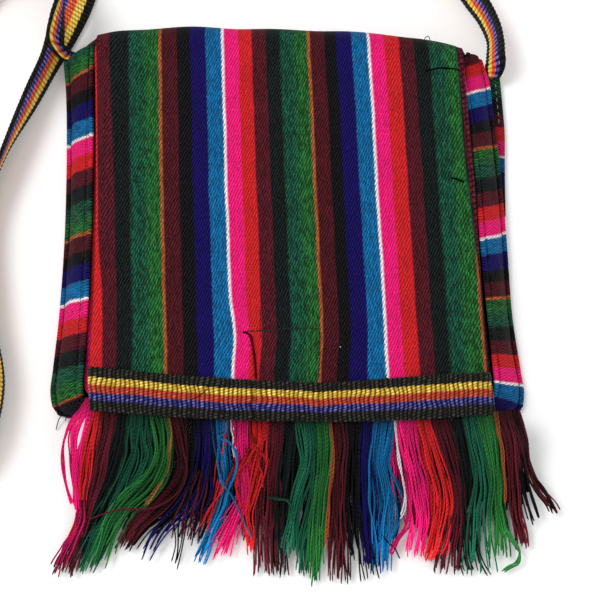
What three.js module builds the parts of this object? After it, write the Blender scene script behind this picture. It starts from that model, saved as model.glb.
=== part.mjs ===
// A fringed crossbody bag of striped twill, lying on its back with the flap closed.
// Millimetres. +Z is up from the resting surface, +Y points to the bag's top (the fold), +X to the wearer's left
// as the flap is seen. The origin is the middle of the back panel's outer face.
import * as THREE from "three";

// ---- driving dimensions ---------------------------------------------------------------------------------
const CLOTH = 1.5; // one layer of twill
const BAND_W = 19; // woven band: trim and strap
const BAND_T = 1.6;
const GAP = 0.35; // air kept between sewn pieces
const BACK_Z = CLOTH / 2; // middle of the back panel's cloth
const FOLD_A = 10.5; // half the fold's depth along Y
const FLAP_Z = 21.6; // flap's cloth at its side edges
const FLAP_CROWN = 3.0; // how far the flap's middle rises above its edges
const FRONT_CROWN = 2.2;
const FIN = 2.7; // pinched seam allowance outside the stitch line
const FIN_Z = CLOTH + GAP + CLOTH / 2; // gusset's lower fin lies on the back panel's margin
const FRONT_FIN_UP = 2.3;
const FRONT_FIN_IN = 0.8;
const GUSSET_BULGE = 2.0;
const FRINGE_LENGTH = 68;

// ---- tables, one row for each section -------------------------------------------------------------------
// Back panel: its two side edges, from the bottom up.
const BACK = [
  { y: -93.6, left: -100.5, right: 102.5 },
  { y: -91.0, left: -106.2, right: 108.8 },
  { y: -84.0, left: -108.6, right: 110.8 },
  { y: -70.0, left: -107.6, right: 109.2 },
  { y: -45.0, left: -105.8, right: 106.4 },
  { y: -10.0, left: -104.8, right: 105.2 },
  { y: 25.0, left: -105.2, right: 105.2 },
  { y: 58.0, left: -106.4, right: 105.4 },
];
// Fold over the top: turn from the back (-90) to the flap (90), and the cloth's two side edges.
const FOLD = [
  { turn: -90, left: -107.2, right: 102.6 },
  { turn: -58, left: -103.6, right: 94.0 },
  { turn: -30, left: -97.2, right: 89.0 },
  { turn: 0, left: -91.4, right: 85.8 },
  { turn: 30, left: -90.0, right: 84.5 },
  { turn: 60, left: -89.7, right: 84.1 },
  { turn: 90, left: -89.6, right: 84.0 },
];
// Crest of the fold, from the left edge (-1) to the right edge (1): it slopes down to the right.
const CREST = [
  { u: -1.0, y: 87.8 },
  { u: -0.86, y: 90.4 },
  { u: -0.62, y: 91.6 },
  { u: -0.2, y: 91.6 },
  { u: 0.1, y: 90.4 },
  { u: 0.4, y: 89.4 },
  { u: 0.72, y: 87.0 },
  { u: 0.9, y: 83.8 },
  { u: 1.0, y: 81.4 },
];
// Flap: its two side edges and the share of the crown, from the fold (0) to the trim's lower edge (1).
const FLAP = [
  { t: 0.0, left: -89.6, right: 84.0, crown: 0.45 },
  { t: 0.17, left: -88.2, right: 85.6, crown: 0.8 },
  { t: 0.34, left: -87.0, right: 87.3, crown: 1.0 },
  { t: 0.52, left: -86.3, right: 88.4, crown: 1.0 },
  { t: 0.7, left: -86.3, right: 89.6, crown: 0.9 },
  { t: 0.88, left: -86.8, right: 91.4, crown: 0.72 },
  { t: 1.0, left: -85.2, right: 92.8, crown: 0.6 },
];
// Trim's lower edge across the flap, and its slope down towards the fringe.
const TRIM = [
  { u: -1.0, y: -91.4 },
  { u: -0.6, y: -94.4 },
  { u: -0.2, y: -95.7 },
  { u: 0.25, y: -95.2 },
  { u: 0.65, y: -94.4 },
  { u: 1.0, y: -93.6 },
];
// Dents and folds pressed into the flap: middle, half sizes and depth.
const DENTS = [
  { name: "patch_left_fold", x: -10.5, y: -63, rx: 3.2, ry: 15, depth: 0.9 },
  { name: "trim_crease", x: -12.0, y: -87, rx: 3.4, ry: 10, depth: 0.8 },
  { name: "left_hollow", x: -58, y: -40, rx: 22, ry: 34, depth: 0.9 },
  { name: "right_hollow", x: 60, y: -20, rx: 16, ry: 40, depth: 0.8 },
  { name: "upper_swell", x: 10, y: 48, rx: 42, ry: 26, depth: -0.9 },
];
// Front panel: height of its side edges, from the mouth down.
const FRONT = [
  { y: -86.5, z: 15.6 },
  { y: -45.0, z: 16.8 },
  { y: 0.0, z: 16.4 },
  { y: 40.0, z: 14.4 },
  { y: 71.0, z: 12.2 },
];
// Gusset: sections from the left top, round the bottom, to the right top. The tip of the lower fin (back_x, back_y,
// back_z) and the upper stitch line (front_x, front_y, front_z).
const GUSSET = [
  { back_x: -107.4, back_y: 77.2, back_z: 8.4, front_x: -93.0, front_y: 84.0, front_z: 13.4 },
  { back_x: -106.4, back_y: 58.0, back_z: 3.4, front_x: -92.6, front_y: 59.0, front_z: 14.2 },
  { back_x: -105.2, back_y: 25.0, back_z: FIN_Z, front_x: -91.6, front_y: 25.0, front_z: 16.2 },
  { back_x: -104.8, back_y: -10.0, back_z: FIN_Z, front_x: -91.0, front_y: -10.0, front_z: 17.4 },
  { back_x: -105.8, back_y: -45.0, back_z: FIN_Z, front_x: -91.2, front_y: -45.0, front_z: 17.8 },
  { back_x: -107.6, back_y: -70.0, back_z: FIN_Z, front_x: -92.0, front_y: -69.0, front_z: 17.4 },
  { back_x: -108.4, back_y: -82.5, back_z: FIN_Z, front_x: -92.4, front_y: -80.0, front_z: 16.8 },
  { back_x: -105.6, back_y: -90.6, back_z: FIN_Z, front_x: -90.4, front_y: -86.4, front_z: 16.6 },
  { back_x: -98.0, back_y: -93.2, back_z: FIN_Z, front_x: -85.0, front_y: -88.2, front_z: 16.4 },
  { back_x: -55.0, back_y: -93.4, back_z: FIN_Z, front_x: -50.0, front_y: -88.6, front_z: 16.4 },
  { back_x: 0.0, back_y: -93.4, back_z: FIN_Z, front_x: 0.0, front_y: -88.8, front_z: 16.4 },
  { back_x: 55.0, back_y: -93.4, back_z: FIN_Z, front_x: 50.0, front_y: -88.6, front_z: 16.4 },
  { back_x: 100.0, back_y: -93.2, back_z: FIN_Z, front_x: 87.0, front_y: -88.2, front_z: 16.4 },
  { back_x: 108.2, back_y: -90.4, back_z: FIN_Z, front_x: 93.0, front_y: -86.2, front_z: 16.6 },
  { back_x: 110.6, back_y: -82.5, back_z: FIN_Z, front_x: 95.4, front_y: -79.6, front_z: 16.8 },
  { back_x: 109.2, back_y: -70.0, back_z: FIN_Z, front_x: 94.8, front_y: -68.0, front_z: 17.4 },
  { back_x: 106.4, back_y: -45.0, back_z: FIN_Z, front_x: 93.0, front_y: -44.0, front_z: 17.8 },
  { back_x: 104.8, back_y: -10.0, back_z: 4.0, front_x: 90.8, front_y: -9.0, front_z: 17.6 },
  { back_x: 102.6, back_y: 25.0, back_z: 5.8, front_x: 89.2, front_y: 26.0, front_z: 16.6 },
  { back_x: 99.8, back_y: 50.0, back_z: 7.8, front_x: 87.0, front_y: 53.0, front_z: 14.8 },
  { back_x: 98.4, back_y: 66.4, back_z: 8.6, front_x: 85.0, front_y: 70.4, front_z: 13.8 },
  { back_x: 95.0, back_y: 78.0, back_z: 9.4, front_x: 88.2, front_y: 79.4, front_z: 12.8 },
];
// Tab outside the right gusset, from its top down: its outer edge, and how much of it shows.
const TAB = [
  { y: 71.5, outer: 104.6, width: 17 },
  { y: 58.0, outer: 105.4, width: 17 },
  { y: 45.0, outer: 106.0, width: 16 },
  { y: 30.0, outer: 105.6, width: 14 },
  { y: 14.0, outer: 105.2, width: 10 },
  { y: 2.0, outer: 105.0, width: 6 },
];
// Fringe: outer form from the trim (0) to the tips (1): its two side edges, height of its middle, thickness.
const FRINGE = [
  { t: 0.0, left: -85.0, right: 92.4, z: 0.0, thick: 1.4 },
  { t: 0.06, left: -87.4, right: 95.0, z: -1.6, thick: 2.6 },
  { t: 0.2, left: -94.0, right: 101.0, z: -8.0, thick: 6.0 },
  { t: 0.4, left: -97.6, right: 106.0, z: -14.2, thick: 8.0 },
  { t: 0.62, left: -95.0, right: 111.0, z: -17.4, thick: 7.4 },
  { t: 0.82, left: -98.0, right: 112.0, z: -18.6, thick: 5.4 },
  { t: 1.0, left: -101.0, right: 104.0, z: -19.2, thick: 4.0 },
];
// Fringe tips across the bag: how much longer or shorter than the fringe's own length.
const TIPS = [
  { u: -1.0, longer: 0.0 },
  { u: -0.7, longer: -3.0 },
  { u: -0.3, longer: -6.0 },
  { u: 0.05, longer: 0.5 },
  { u: 0.35, longer: -1.5 },
  { u: 0.55, longer: -5.0 },
  { u: 0.8, longer: -1.0 },
  { u: 1.0, longer: -6.0 },
];
// Strap: middle of the band from the right gusset's top, over the arch, past the left corner, round the loop and back
// to the left gusset's top. tilt turns the band about its run (0 flat, 90 on its edge), lift raises its lower edge, and
// wide is the band's width, less where it is folded together to be sewn in.
const STRAP = [
  { name: "right_end", x: 100.6, y: 70.6, tilt: -12, lift: 3.9, wide: 6.5 },
  { name: "right_out", x: 101.2, y: 74.2, tilt: -45, lift: 3.5, wide: 12 },
  { name: "right_rise", x: 101.0, y: 78.0, tilt: -70, lift: 2.8, wide: 17 },
  { name: "right_turn", x: 101.2, y: 83.4, tilt: -77, lift: 1.6, wide: 19 },
  { name: "right_lean", x: 101.0, y: 91.0, tilt: -82, lift: 0.4, wide: 19 },
  { name: "right_slant", x: 97.2, y: 101.2, tilt: -82, lift: 0.3, wide: 19 },
  { name: "right_leg", x: 90.4, y: 112.0, tilt: -80, lift: 0.3, wide: 19 },
  { name: "right_arch", x: 79.0, y: 132.0, tilt: -80, lift: 0.3, wide: 19 },
  { name: "right_upper", x: 72.0, y: 182.0, tilt: -80, lift: 0.3, wide: 19 },
  { name: "right_shoulder", x: 58.0, y: 244.0, tilt: -80, lift: 0.3, wide: 19 },
  { name: "arch_right", x: 28.0, y: 286.0, tilt: -81, lift: 0.3, wide: 19 },
  { name: "arch_top", x: -12.0, y: 299.0, tilt: -81, lift: 0.3, wide: 19 },
  { name: "arch_left", x: -54.0, y: 283.0, tilt: -79, lift: 0.3, wide: 19 },
  { name: "left_shoulder", x: -82.0, y: 242.0, tilt: -75, lift: 0.3, wide: 19 },
  { name: "left_upper", x: -92.4, y: 190.0, tilt: -68, lift: 0.3, wide: 19 },
  { name: "left_arch", x: -97.4, y: 146.0, tilt: -22, lift: 0.3, wide: 19 },
  { name: "left_leg", x: -102.8, y: 113.0, tilt: -36, lift: 0.3, wide: 19 },
  { name: "under_cross", x: -108.8, y: 91.4, tilt: -62, lift: 0.3, wide: 19 },
  { name: "tail_top", x: -113.8, y: 77.3, tilt: -81, lift: 0.3, wide: 19 },
  { name: "tail_mid", x: -122.0, y: 58.5, tilt: -88, lift: 0.3, wide: 19 },
  { name: "tail_edge", x: -134.0, y: 30.7, tilt: -104, lift: 0.3, wide: 19 },
  { name: "tail_out", x: -142.2, y: 2.0, tilt: -100, lift: 0.3, wide: 19 },
  { name: "tail_low", x: -138.4, y: -40.0, tilt: -95, lift: 0.3, wide: 19 },
  { name: "loop_bulge", x: -131.0, y: -80.5, tilt: -90, lift: 0.3, wide: 19 },
  { name: "loop_turn", x: -139.0, y: -112.0, tilt: -94, lift: 0.3, wide: 19 },
  { name: "loop_bottom", x: -158.0, y: -124.0, tilt: -101, lift: 0.3, wide: 19 },
  { name: "loop_back", x: -173.0, y: -104.0, tilt: -112, lift: 0.3, wide: 19 },
  { name: "loop_side", x: -177.0, y: -60.0, tilt: -130, lift: 0.3, wide: 19 },
  { name: "loop_upper", x: -177.0, y: -5.0, tilt: -152, lift: 0.3, wide: 19 },
  { name: "loop_high", x: -173.0, y: 50.0, tilt: -174, lift: 0.3, wide: 19 },
  { name: "loop_shoulder", x: -163.0, y: 98.0, tilt: -197, lift: 0.4, wide: 19 },
  { name: "loop_top", x: -145.0, y: 126.0, tilt: -215, lift: 1.6, wide: 19 },
  { name: "over_turn", x: -122.2, y: 131.0, tilt: -248, lift: 9.2, wide: 19 },
  { name: "over_drop", x: -110.6, y: 119.4, tilt: -268, lift: 17.4, wide: 19 },
  { name: "over_cross", x: -106.0, y: 103.0, tilt: -277, lift: 16.4, wide: 19 },
  { name: "over_mid", x: -108.0, y: 91.4, tilt: -264, lift: 12.4, wide: 18 },
  { name: "over_tuck", x: -109.8, y: 84.8, tilt: -247, lift: 7.6, wide: 14.5 },
  { name: "left_tuck", x: -106.8, y: 81.8, tilt: -208, lift: 4.2, wide: 7.5 },
  { name: "left_in", x: -103.3, y: 80.0, tilt: -183, lift: 4.2, wide: 7 },
  { name: "left_end", x: -100.6, y: 73.8, tilt: -180, lift: 3.2, wide: 7 },
];
const STRAP_STEPS = 78; // two between each pair of rows

// ---- helpers --------------------------------------------------------------------------------------------
// Smooth value of one column of a table at x, where key names the column that x runs along.
function along(rows, key, column, x) {
  const n = rows.length;
  const up = rows[n - 1][key] > rows[0][key];
  const inside = Math.min(Math.max(x, Math.min(rows[0][key], rows[n - 1][key])), Math.max(rows[0][key], rows[n - 1][key]));
  let i = 0;
  while (i < n - 2 && (up ? inside > rows[i + 1][key] : inside < rows[i + 1][key])) i++;
  const a = rows[i], b = rows[i + 1];
  const h = b[key] - a[key];
  const s = (inside - a[key]) / h;
  const slope = (j) => {
    const p = rows[Math.max(j - 1, 0)], q = rows[Math.min(j + 1, n - 1)];
    return (q[column] - p[column]) / (q[key] - p[key]);
  };
  const s2 = s * s, s3 = s2 * s;
  return (2 * s3 - 3 * s2 + 1) * a[column] + (s3 - 2 * s2 + s) * h * slope(i) + (3 * s2 - 2 * s3) * b[column] + (s3 - s2) * h * slope(i + 1);
}
const lerp = (a, b, t) => a + (b - a) * t;
const spread = (n, a = 0, b = 1) => Array.from({ length: n + 1 }, (_, i) => lerp(a, b, i / n));

// A closed wall of the given thickness about a grid of points. thickness may be a number or a function of (row, column).
function wall(grid, thickness) {
  const rows = grid.length, cols = grid[0].length;
  const thick = typeof thickness === "number" ? () => thickness : thickness;
  const position = [];
  const normal = (i, j) => {
    const along_row = grid[i][Math.min(j + 1, cols - 1)].clone().sub(grid[i][Math.max(j - 1, 0)]);
    const along_col = grid[Math.min(i + 1, rows - 1)][j].clone().sub(grid[Math.max(i - 1, 0)][j]);
    return along_row.cross(along_col).normalize();
  };
  for (const side of [1, -1])
    for (let i = 0; i < rows; i++)
      for (let j = 0; j < cols; j++) {
        const p = grid[i][j].clone().addScaledVector(normal(i, j), (side * thick(i, j)) / 2);
        position.push(p.x, p.y, p.z);
      }
  const top = (i, j) => i * cols + j;
  const low = (i, j) => rows * cols + i * cols + j;
  const index = [];
  const quad = (a, b, c, d) => index.push(a, b, c, a, c, d);
  for (let i = 0; i < rows - 1; i++)
    for (let j = 0; j < cols - 1; j++) {
      quad(top(i, j), top(i, j + 1), top(i + 1, j + 1), top(i + 1, j));
      quad(low(i, j), low(i + 1, j), low(i + 1, j + 1), low(i, j + 1));
    }
  for (let j = 0; j < cols - 1; j++) {
    quad(top(0, j), low(0, j), low(0, j + 1), top(0, j + 1));
    quad(top(rows - 1, j), top(rows - 1, j + 1), low(rows - 1, j + 1), low(rows - 1, j));
  }
  for (let i = 0; i < rows - 1; i++) {
    quad(top(i, 0), top(i + 1, 0), low(i + 1, 0), low(i, 0));
    quad(top(i, cols - 1), low(i, cols - 1), low(i + 1, cols - 1), top(i + 1, cols - 1));
  }
  const geometry = new THREE.BufferGeometry();
  geometry.setAttribute("position", new THREE.Float32BufferAttribute(position, 3));
  geometry.setIndex(index);
  geometry.computeVertexNormals();
  return geometry;
}

const bag = new THREE.Group();
function add(name, geometry, color, roughness) {
  const mesh = new THREE.Mesh(geometry, new THREE.MeshStandardMaterial({ color, roughness, metalness: 0 }));
  mesh.name = name;
  bag.add(mesh);
}

// ---- flap surface ---------------------------------------------------------------------------------------
const crestY = (u) => along(CREST, "u", "y", u);
const flapTopY = (u) => crestY(u) - FOLD_A;
const trimLowY = (u) => along(TRIM, "u", "y", u);
const hemY = (u) => trimLowY(u) + 2.2; // the flap's cloth ends under the trim, where the fringe starts
function flapZ(x, y, u, t) {
  let z = FLAP_Z + FLAP_CROWN * along(FLAP, "t", "crown", t) * (1 - u * u);
  for (const d of DENTS) z -= d.depth * Math.exp(-(((x - d.x) / d.rx) ** 2) - ((y - d.y) / d.ry) ** 2);
  return z;
}
function flapPoint(u, t, lift = 0) {
  const y = lerp(flapTopY(u), trimLowY(u), t);
  const x = lerp(along(FLAP, "t", "left", t), along(FLAP, "t", "right", t), (u + 1) / 2);
  return new THREE.Vector3(x, y, flapZ(x, y, u, t) + lift);
}

// ---- back panel, fold and flap: one cloth ---------------------------------------------------------------
const ACROSS = spread(16, -1, 1);
const backFlapRows = [];
for (const row of BACK)
  backFlapRows.push(ACROSS.map((u) => new THREE.Vector3(lerp(row.left, row.right, (u + 1) / 2), row.y, BACK_Z)));
for (const turn of spread(10, -90, 90)) {
  const c = Math.cos((turn * Math.PI) / 180), s = Math.sin((turn * Math.PI) / 180);
  const left = along(FOLD, "turn", "left", turn), right = along(FOLD, "turn", "right", turn);
  backFlapRows.push(
    ACROSS.map((u) => {
      const top = flapPoint(u, 0).z;
      return new THREE.Vector3(lerp(left, right, (u + 1) / 2), flapTopY(u) + FOLD_A * c, (BACK_Z + top) / 2 + ((top - BACK_Z) / 2) * s);
    }),
  );
}
for (const t of spread(14).slice(1))
  backFlapRows.push(
    ACROSS.map((u) => {
      const share = (flapTopY(u) - hemY(u)) / (flapTopY(u) - trimLowY(u));
      return flapPoint(u, t * share);
    }),
  );
// Rows run from the back's bottom over the fold, so the outer face is on the far side of the grid.
add("back_flap", wall(backFlapRows.map((r) => r.slice().reverse()), CLOTH), 0x7a1f33, 0.85);

// ---- gusset: one strip round three sides ----------------------------------------------------------------
const GUSSET_STEPS = 63;
const gusset_at = (column, s) => along(GUSSET.map((r, i) => ({ ...r, s: i / (GUSSET.length - 1) })), "s", column, s);
const gussetRows = spread(GUSSET_STEPS).map((s) => {
  const tip = new THREE.Vector3(gusset_at("back_x", s), gusset_at("back_y", s), gusset_at("back_z", s));
  const stitch = new THREE.Vector3(gusset_at("front_x", s), gusset_at("front_y", s), gusset_at("front_z", s));
  const inward = new THREE.Vector3(stitch.x - tip.x, stitch.y - tip.y, 0).normalize();
  const low = tip.clone().addScaledVector(inward, FIN);
  const rise = stitch.clone().sub(low);
  const out = new THREE.Vector3(-inward.x * rise.z, -inward.y * rise.z, Math.hypot(rise.x, rise.y)).normalize();
  const face = [0.28, 0.55, 0.8].map((f) => low.clone().addScaledVector(rise, f).addScaledVector(out, GUSSET_BULGE * 4 * f * (1 - f)));
  const fin = stitch.clone().addScaledVector(inward, FRONT_FIN_IN).setZ(stitch.z + FRONT_FIN_UP);
  return [tip, low, ...face, stitch, fin];
});
add("gusset", wall(gussetRows, CLOTH), 0x1f6f4a, 0.85);

// ---- front panel ----------------------------------------------------------------------------------------
const sideRows = (side) => GUSSET.filter((r) => Math.sign(r.front_x) === side && Math.abs(r.front_x) > 84).map((r) => ({ y: r.front_y, x: r.front_x })).sort((a, b) => a.y - b.y);
const LEFT_STITCH = sideRows(-1), RIGHT_STITCH = sideRows(1);
const frontRows = spread(10, FRONT[0].y, FRONT[FRONT.length - 1].y).map((y) =>
  spread(12, -1, 1).map((u) => {
    const inset = CLOTH / 2 + GAP + FRONT_FIN_IN + 0.6;
    const low = Math.max(0, (-80 - y) / 6.5) ** 2 * 4; // the panel's lower corners are rounded
    const x = lerp(along(LEFT_STITCH, "y", "x", y) + inset + low, along(RIGHT_STITCH, "y", "x", y) - inset - low, (u + 1) / 2);
    return new THREE.Vector3(x, y, along(FRONT, "y", "z", y) + FRONT_CROWN * (1 - u * u));
  }),
);
add("front_panel", wall(frontRows, CLOTH), 0x7a1f33, 0.85);

// ---- tab over the right strap end -----------------------------------------------------------------------
const tabRows = spread(10, TAB[0].y, TAB[TAB.length - 1].y).map((y) => {
  const outer = along(TAB, "y", "outer", y), width = along(TAB, "y", "width", y);
  return spread(4).map((s) => new THREE.Vector3(outer - width * s, y, FIN_Z + 0.25 * s));
});
add("strap_tab", wall(tabRows.map((r) => r.slice().reverse()).reverse(), CLOTH * 0.8), 0x5c1626, 0.85);

// ---- trim band ------------------------------------------------------------------------------------------
const trimRows = spread(4).map((s) =>
  spread(28, -1, 1).map((u) => {
    const long = flapTopY(u) - trimLowY(u);
    return flapPoint(u, 1 - (BAND_W * (1 - s)) / long, CLOTH / 2 + GAP + BAND_T / 2 + 0.35);
  }),
);
add("trim_band", wall(trimRows.reverse(), BAND_T), 0xd9b23a, 0.8);

// ---- fringe: the outer form of the loose yarns ----------------------------------------------------------
const FRINGE_ROWS = 12;
const fringeRows = spread(FRINGE_ROWS).map((t) =>
  spread(20, -1, 1).map((u) => {
    const long = FRINGE_LENGTH + along(TIPS, "u", "longer", u);
    const x = lerp(along(FRINGE, "t", "left", t), along(FRINGE, "t", "right", t), (u + 1) / 2);
    const start = flapPoint(u, 1);
    const y = hemY(u) - 0.75 - long * t;
    const rest = along(FRINGE, "t", "thick", t) / 2 + 0.25;
    return new THREE.Vector3(x, y, Math.max(start.z + along(FRINGE, "t", "z", t), rest));
  }),
);
const fringeThick = (i) => along(FRINGE, "t", "thick", i / FRINGE_ROWS);
add("fringe", wall(fringeRows.map((r) => r.slice().reverse()), (i) => fringeThick(i)), 0x3a5a4a, 0.9);

// ---- strap: one flat band -------------------------------------------------------------------------------
const strapCurve = new THREE.CatmullRomCurve3(STRAP.map((p) => new THREE.Vector3(p.x, p.y, 0)), false, "centripetal");
const strapRows = spread(STRAP_STEPS).map((t) => {
  const p = strapCurve.getPoint(t), d = strapCurve.getTangent(t);
  const rows = STRAP.map((r, i) => ({ ...r, t: i / (STRAP.length - 1) }));
  const tilt = (along(rows, "t", "tilt", t) * Math.PI) / 180;
  const left = new THREE.Vector3(-d.y, d.x, 0).normalize();
  const wide = Math.min(along(rows, "t", "wide", t), BAND_W);
  const z = along(rows, "t", "lift", t) + (wide / 2) * Math.abs(Math.sin(tilt)) + (BAND_T / 2) * Math.abs(Math.cos(tilt));
  const across = left.multiplyScalar(Math.cos(tilt)).setZ(Math.sin(tilt)).multiplyScalar(wide / 2);
  const middle = new THREE.Vector3(p.x, p.y, z);
  return [middle.clone().sub(across), middle, middle.clone().add(across)];
});
add("strap", wall(strapRows.map((r) => r.slice().reverse()).reverse(), BAND_T), 0x23201e, 0.8);

export default bag;
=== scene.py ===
import math

import bpy
import numpy as np
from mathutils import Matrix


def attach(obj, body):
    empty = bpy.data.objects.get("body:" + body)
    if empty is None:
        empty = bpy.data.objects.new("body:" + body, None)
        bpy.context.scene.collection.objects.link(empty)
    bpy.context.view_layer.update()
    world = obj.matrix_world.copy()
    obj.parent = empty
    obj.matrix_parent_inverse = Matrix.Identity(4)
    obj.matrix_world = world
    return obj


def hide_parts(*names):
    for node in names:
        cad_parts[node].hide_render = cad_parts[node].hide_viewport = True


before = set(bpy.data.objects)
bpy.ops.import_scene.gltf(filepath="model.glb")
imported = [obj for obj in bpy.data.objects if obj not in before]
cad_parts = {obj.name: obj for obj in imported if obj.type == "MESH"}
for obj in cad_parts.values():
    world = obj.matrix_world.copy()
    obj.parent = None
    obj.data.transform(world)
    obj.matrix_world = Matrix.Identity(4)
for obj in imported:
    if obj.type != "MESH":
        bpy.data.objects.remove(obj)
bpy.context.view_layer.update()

MM = 0.001

# ---- driving numbers, in millimetres ------------------------------------------------------------------------
CLOTH = 1.5
BAND_W = 19.0
BAND_T = 1.6
BACK_Z = 0.75
FOLD_A = 10.5
FLAP_Z = 21.6
FLAP_CROWN = 3.0
FIN = 2.7
FIN_Z = 2.6
FRONT_FIN_UP = 2.3
FRONT_FIN_IN = 0.8
GUSSET_BULGE = 2.0
RIB = 2.07  # one rib of the woven band
BEAD = 1.267  # one warp yarn of the woven band
REPEAT = 68.6  # one repeat of the cloth's stripes
YARN_R = 0.39

# Camera, as the photograph was taken: nearly straight down.
EYE = np.array([7.0, -121.38, 473.0])

# Stripes of the cloth over one repeat: start, colour key.
STRIPES = [
    (0.3, "white"), (1.6, "pink"), (8.34, "red"), (14.65, "maroon"), (21.27, "black"), (27.9, "teal"),
    (34.48, "green"), (40.56, "orange"), (41.96, "maroon2"), (48.9, "black2"), (54.3, "navy"), (61.7, "cyan"),
]
# sRGB.
PAINT = {
    "white": (226, 214, 216), "pink": (222, 24, 108), "red": (190, 30, 34), "maroon": (74, 16, 28),
    "black": (9, 18, 18), "teal": (14, 68, 49), "green": (28, 87, 37), "orange": (152, 80, 38),
    "maroon2": (66, 14, 23), "black2": (7, 6, 10), "navy": (14, 4, 78), "cyan": (9, 92, 142),
}
# How mottled the yarns of each stripe are.
MOTTLE = {
    "white": 0.1, "pink": 0.22, "red": 0.22, "maroon": 0.6, "black": 0.9, "teal": 1.0, "green": 1.0, "orange": 0.5,
    "maroon2": 0.6, "black2": 0.7, "navy": 0.4, "cyan": 0.6,
}
# Stripe edges across the flap on its middle row: x, place in the repeat.
FLAP_STRIPES = [
    (-112.0, -82.9), (-82.95, -53.95), (-76.62, -47.33), (-69.39, -40.7), (-62.16, -34.12), (-55.61, -28.04),
    (-54.2, -26.64), (-46.79, -19.7), (-40.46, -14.3), (-33.23, -6.9), (-26.22, 0.0), (-24.78, 1.44), (-17.86, 8.34),
    (-11.53, 14.65), (-4.89, 21.27), (1.76, 27.9), (8.36, 34.48), (14.46, 40.56), (15.86, 41.96), (22.82, 48.9),
    (28.25, 54.3), (35.66, 61.7), (42.57, 68.6), (44.07, 70.04), (50.85, 76.94), (57.85, 83.25), (64.77, 89.87),
    (71.96, 96.5), (79.19, 103.08), (86.38, 109.16), (87.46, 110.56), (92.8, 116.0), (112.0, 134.0),
]
STRIPE_LEAN = 0.042

# ---- shape tables, the same as the part's -------------------------------------------------------------------
BACK = [
    (-93.6, -100.5, 102.5), (-91.0, -106.2, 108.8), (-84.0, -108.6, 110.8), (-70.0, -107.6, 109.2),
    (-45.0, -105.8, 106.4), (-10.0, -104.8, 105.2), (25.0, -105.2, 105.2), (58.0, -106.4, 105.4),
]
FOLD = [
    (-90, -107.2, 102.6), (-58, -103.6, 94.0), (-30, -97.2, 89.0), (0, -91.4, 85.8), (30, -90.0, 84.5),
    (60, -89.7, 84.1), (90, -89.6, 84.0),
]
CREST = [(-1.0, 87.8), (-0.86, 90.4), (-0.62, 91.6), (-0.2, 91.6), (0.1, 90.4), (0.4, 89.4), (0.72, 87.0), (0.9, 83.8), (1.0, 81.4)]
FLAP = [
    (0, -89.6, 84.0, 0.45), (0.17, -88.2, 85.6, 0.8), (0.34, -87.0, 87.3, 1.0), (0.52, -86.3, 88.4, 1.0),
    (0.7, -86.3, 89.6, 0.9), (0.88, -86.8, 91.4, 0.72), (1, -85.2, 92.8, 0.6),
]
TRIM = [(-1, -91.4), (-0.6, -94.4), (-0.2, -95.7), (0.25, -95.2), (0.65, -94.4), (1, -93.6)]
DENTS = [  # x, y, half width, half length, depth
    (-10.5, -63, 3.2, 15, 0.9), (-12, -87, 3.4, 10, 0.8), (-58, -40, 22, 34, 0.9), (60, -20, 16, 40, 0.8),
    (10, 48, 42, 26, -0.9),
]
FRONT = [(-86.5, 15.6), (-45, 16.8), (0, 16.4), (40, 14.4), (71, 12.2)]
GUSSET = [  # back edge x, y, z and front edge x, y, z
    (-107.4, 77.2, 8.4, -93, 84, 13.4), (-106.4, 58, 3.4, -92.6, 59, 14.2), (-105.2, 25, FIN_Z, -91.6, 25, 16.2),
    (-104.8, -10, FIN_Z, -91, -10, 17.4), (-105.8, -45, FIN_Z, -91.2, -45, 17.8), (-107.6, -70, FIN_Z, -92, -69, 17.4),
    (-108.4, -82.5, FIN_Z, -92.4, -80, 16.8), (-105.6, -90.6, FIN_Z, -90.4, -86.4, 16.6),
    (-98, -93.2, FIN_Z, -85, -88.2, 16.4), (-55, -93.4, FIN_Z, -50, -88.6, 16.4), (0, -93.4, FIN_Z, 0, -88.8, 16.4),
    (55, -93.4, FIN_Z, 50, -88.6, 16.4), (100, -93.2, FIN_Z, 87, -88.2, 16.4), (108.2, -90.4, FIN_Z, 93, -86.2, 16.6),
    (110.6, -82.5, FIN_Z, 95.4, -79.6, 16.8), (109.2, -70, FIN_Z, 94.8, -68, 17.4), (106.4, -45, FIN_Z, 93, -44, 17.8),
    (104.8, -10, 4.0, 90.8, -9, 17.6), (102.6, 25, 5.8, 89.2, 26, 16.6), (99.8, 50, 7.8, 87, 53, 14.8),
    (98.4, 66.4, 8.6, 85.0, 70.4, 13.8),
    (95.0, 78.0, 9.4, 88.2, 79.4, 12.8),
]
TAB = [(71.5, 104.6, 17), (58, 105.4, 17), (45, 106, 16), (30, 105.6, 14), (14, 105.2, 10), (2, 105, 6)]
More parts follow.
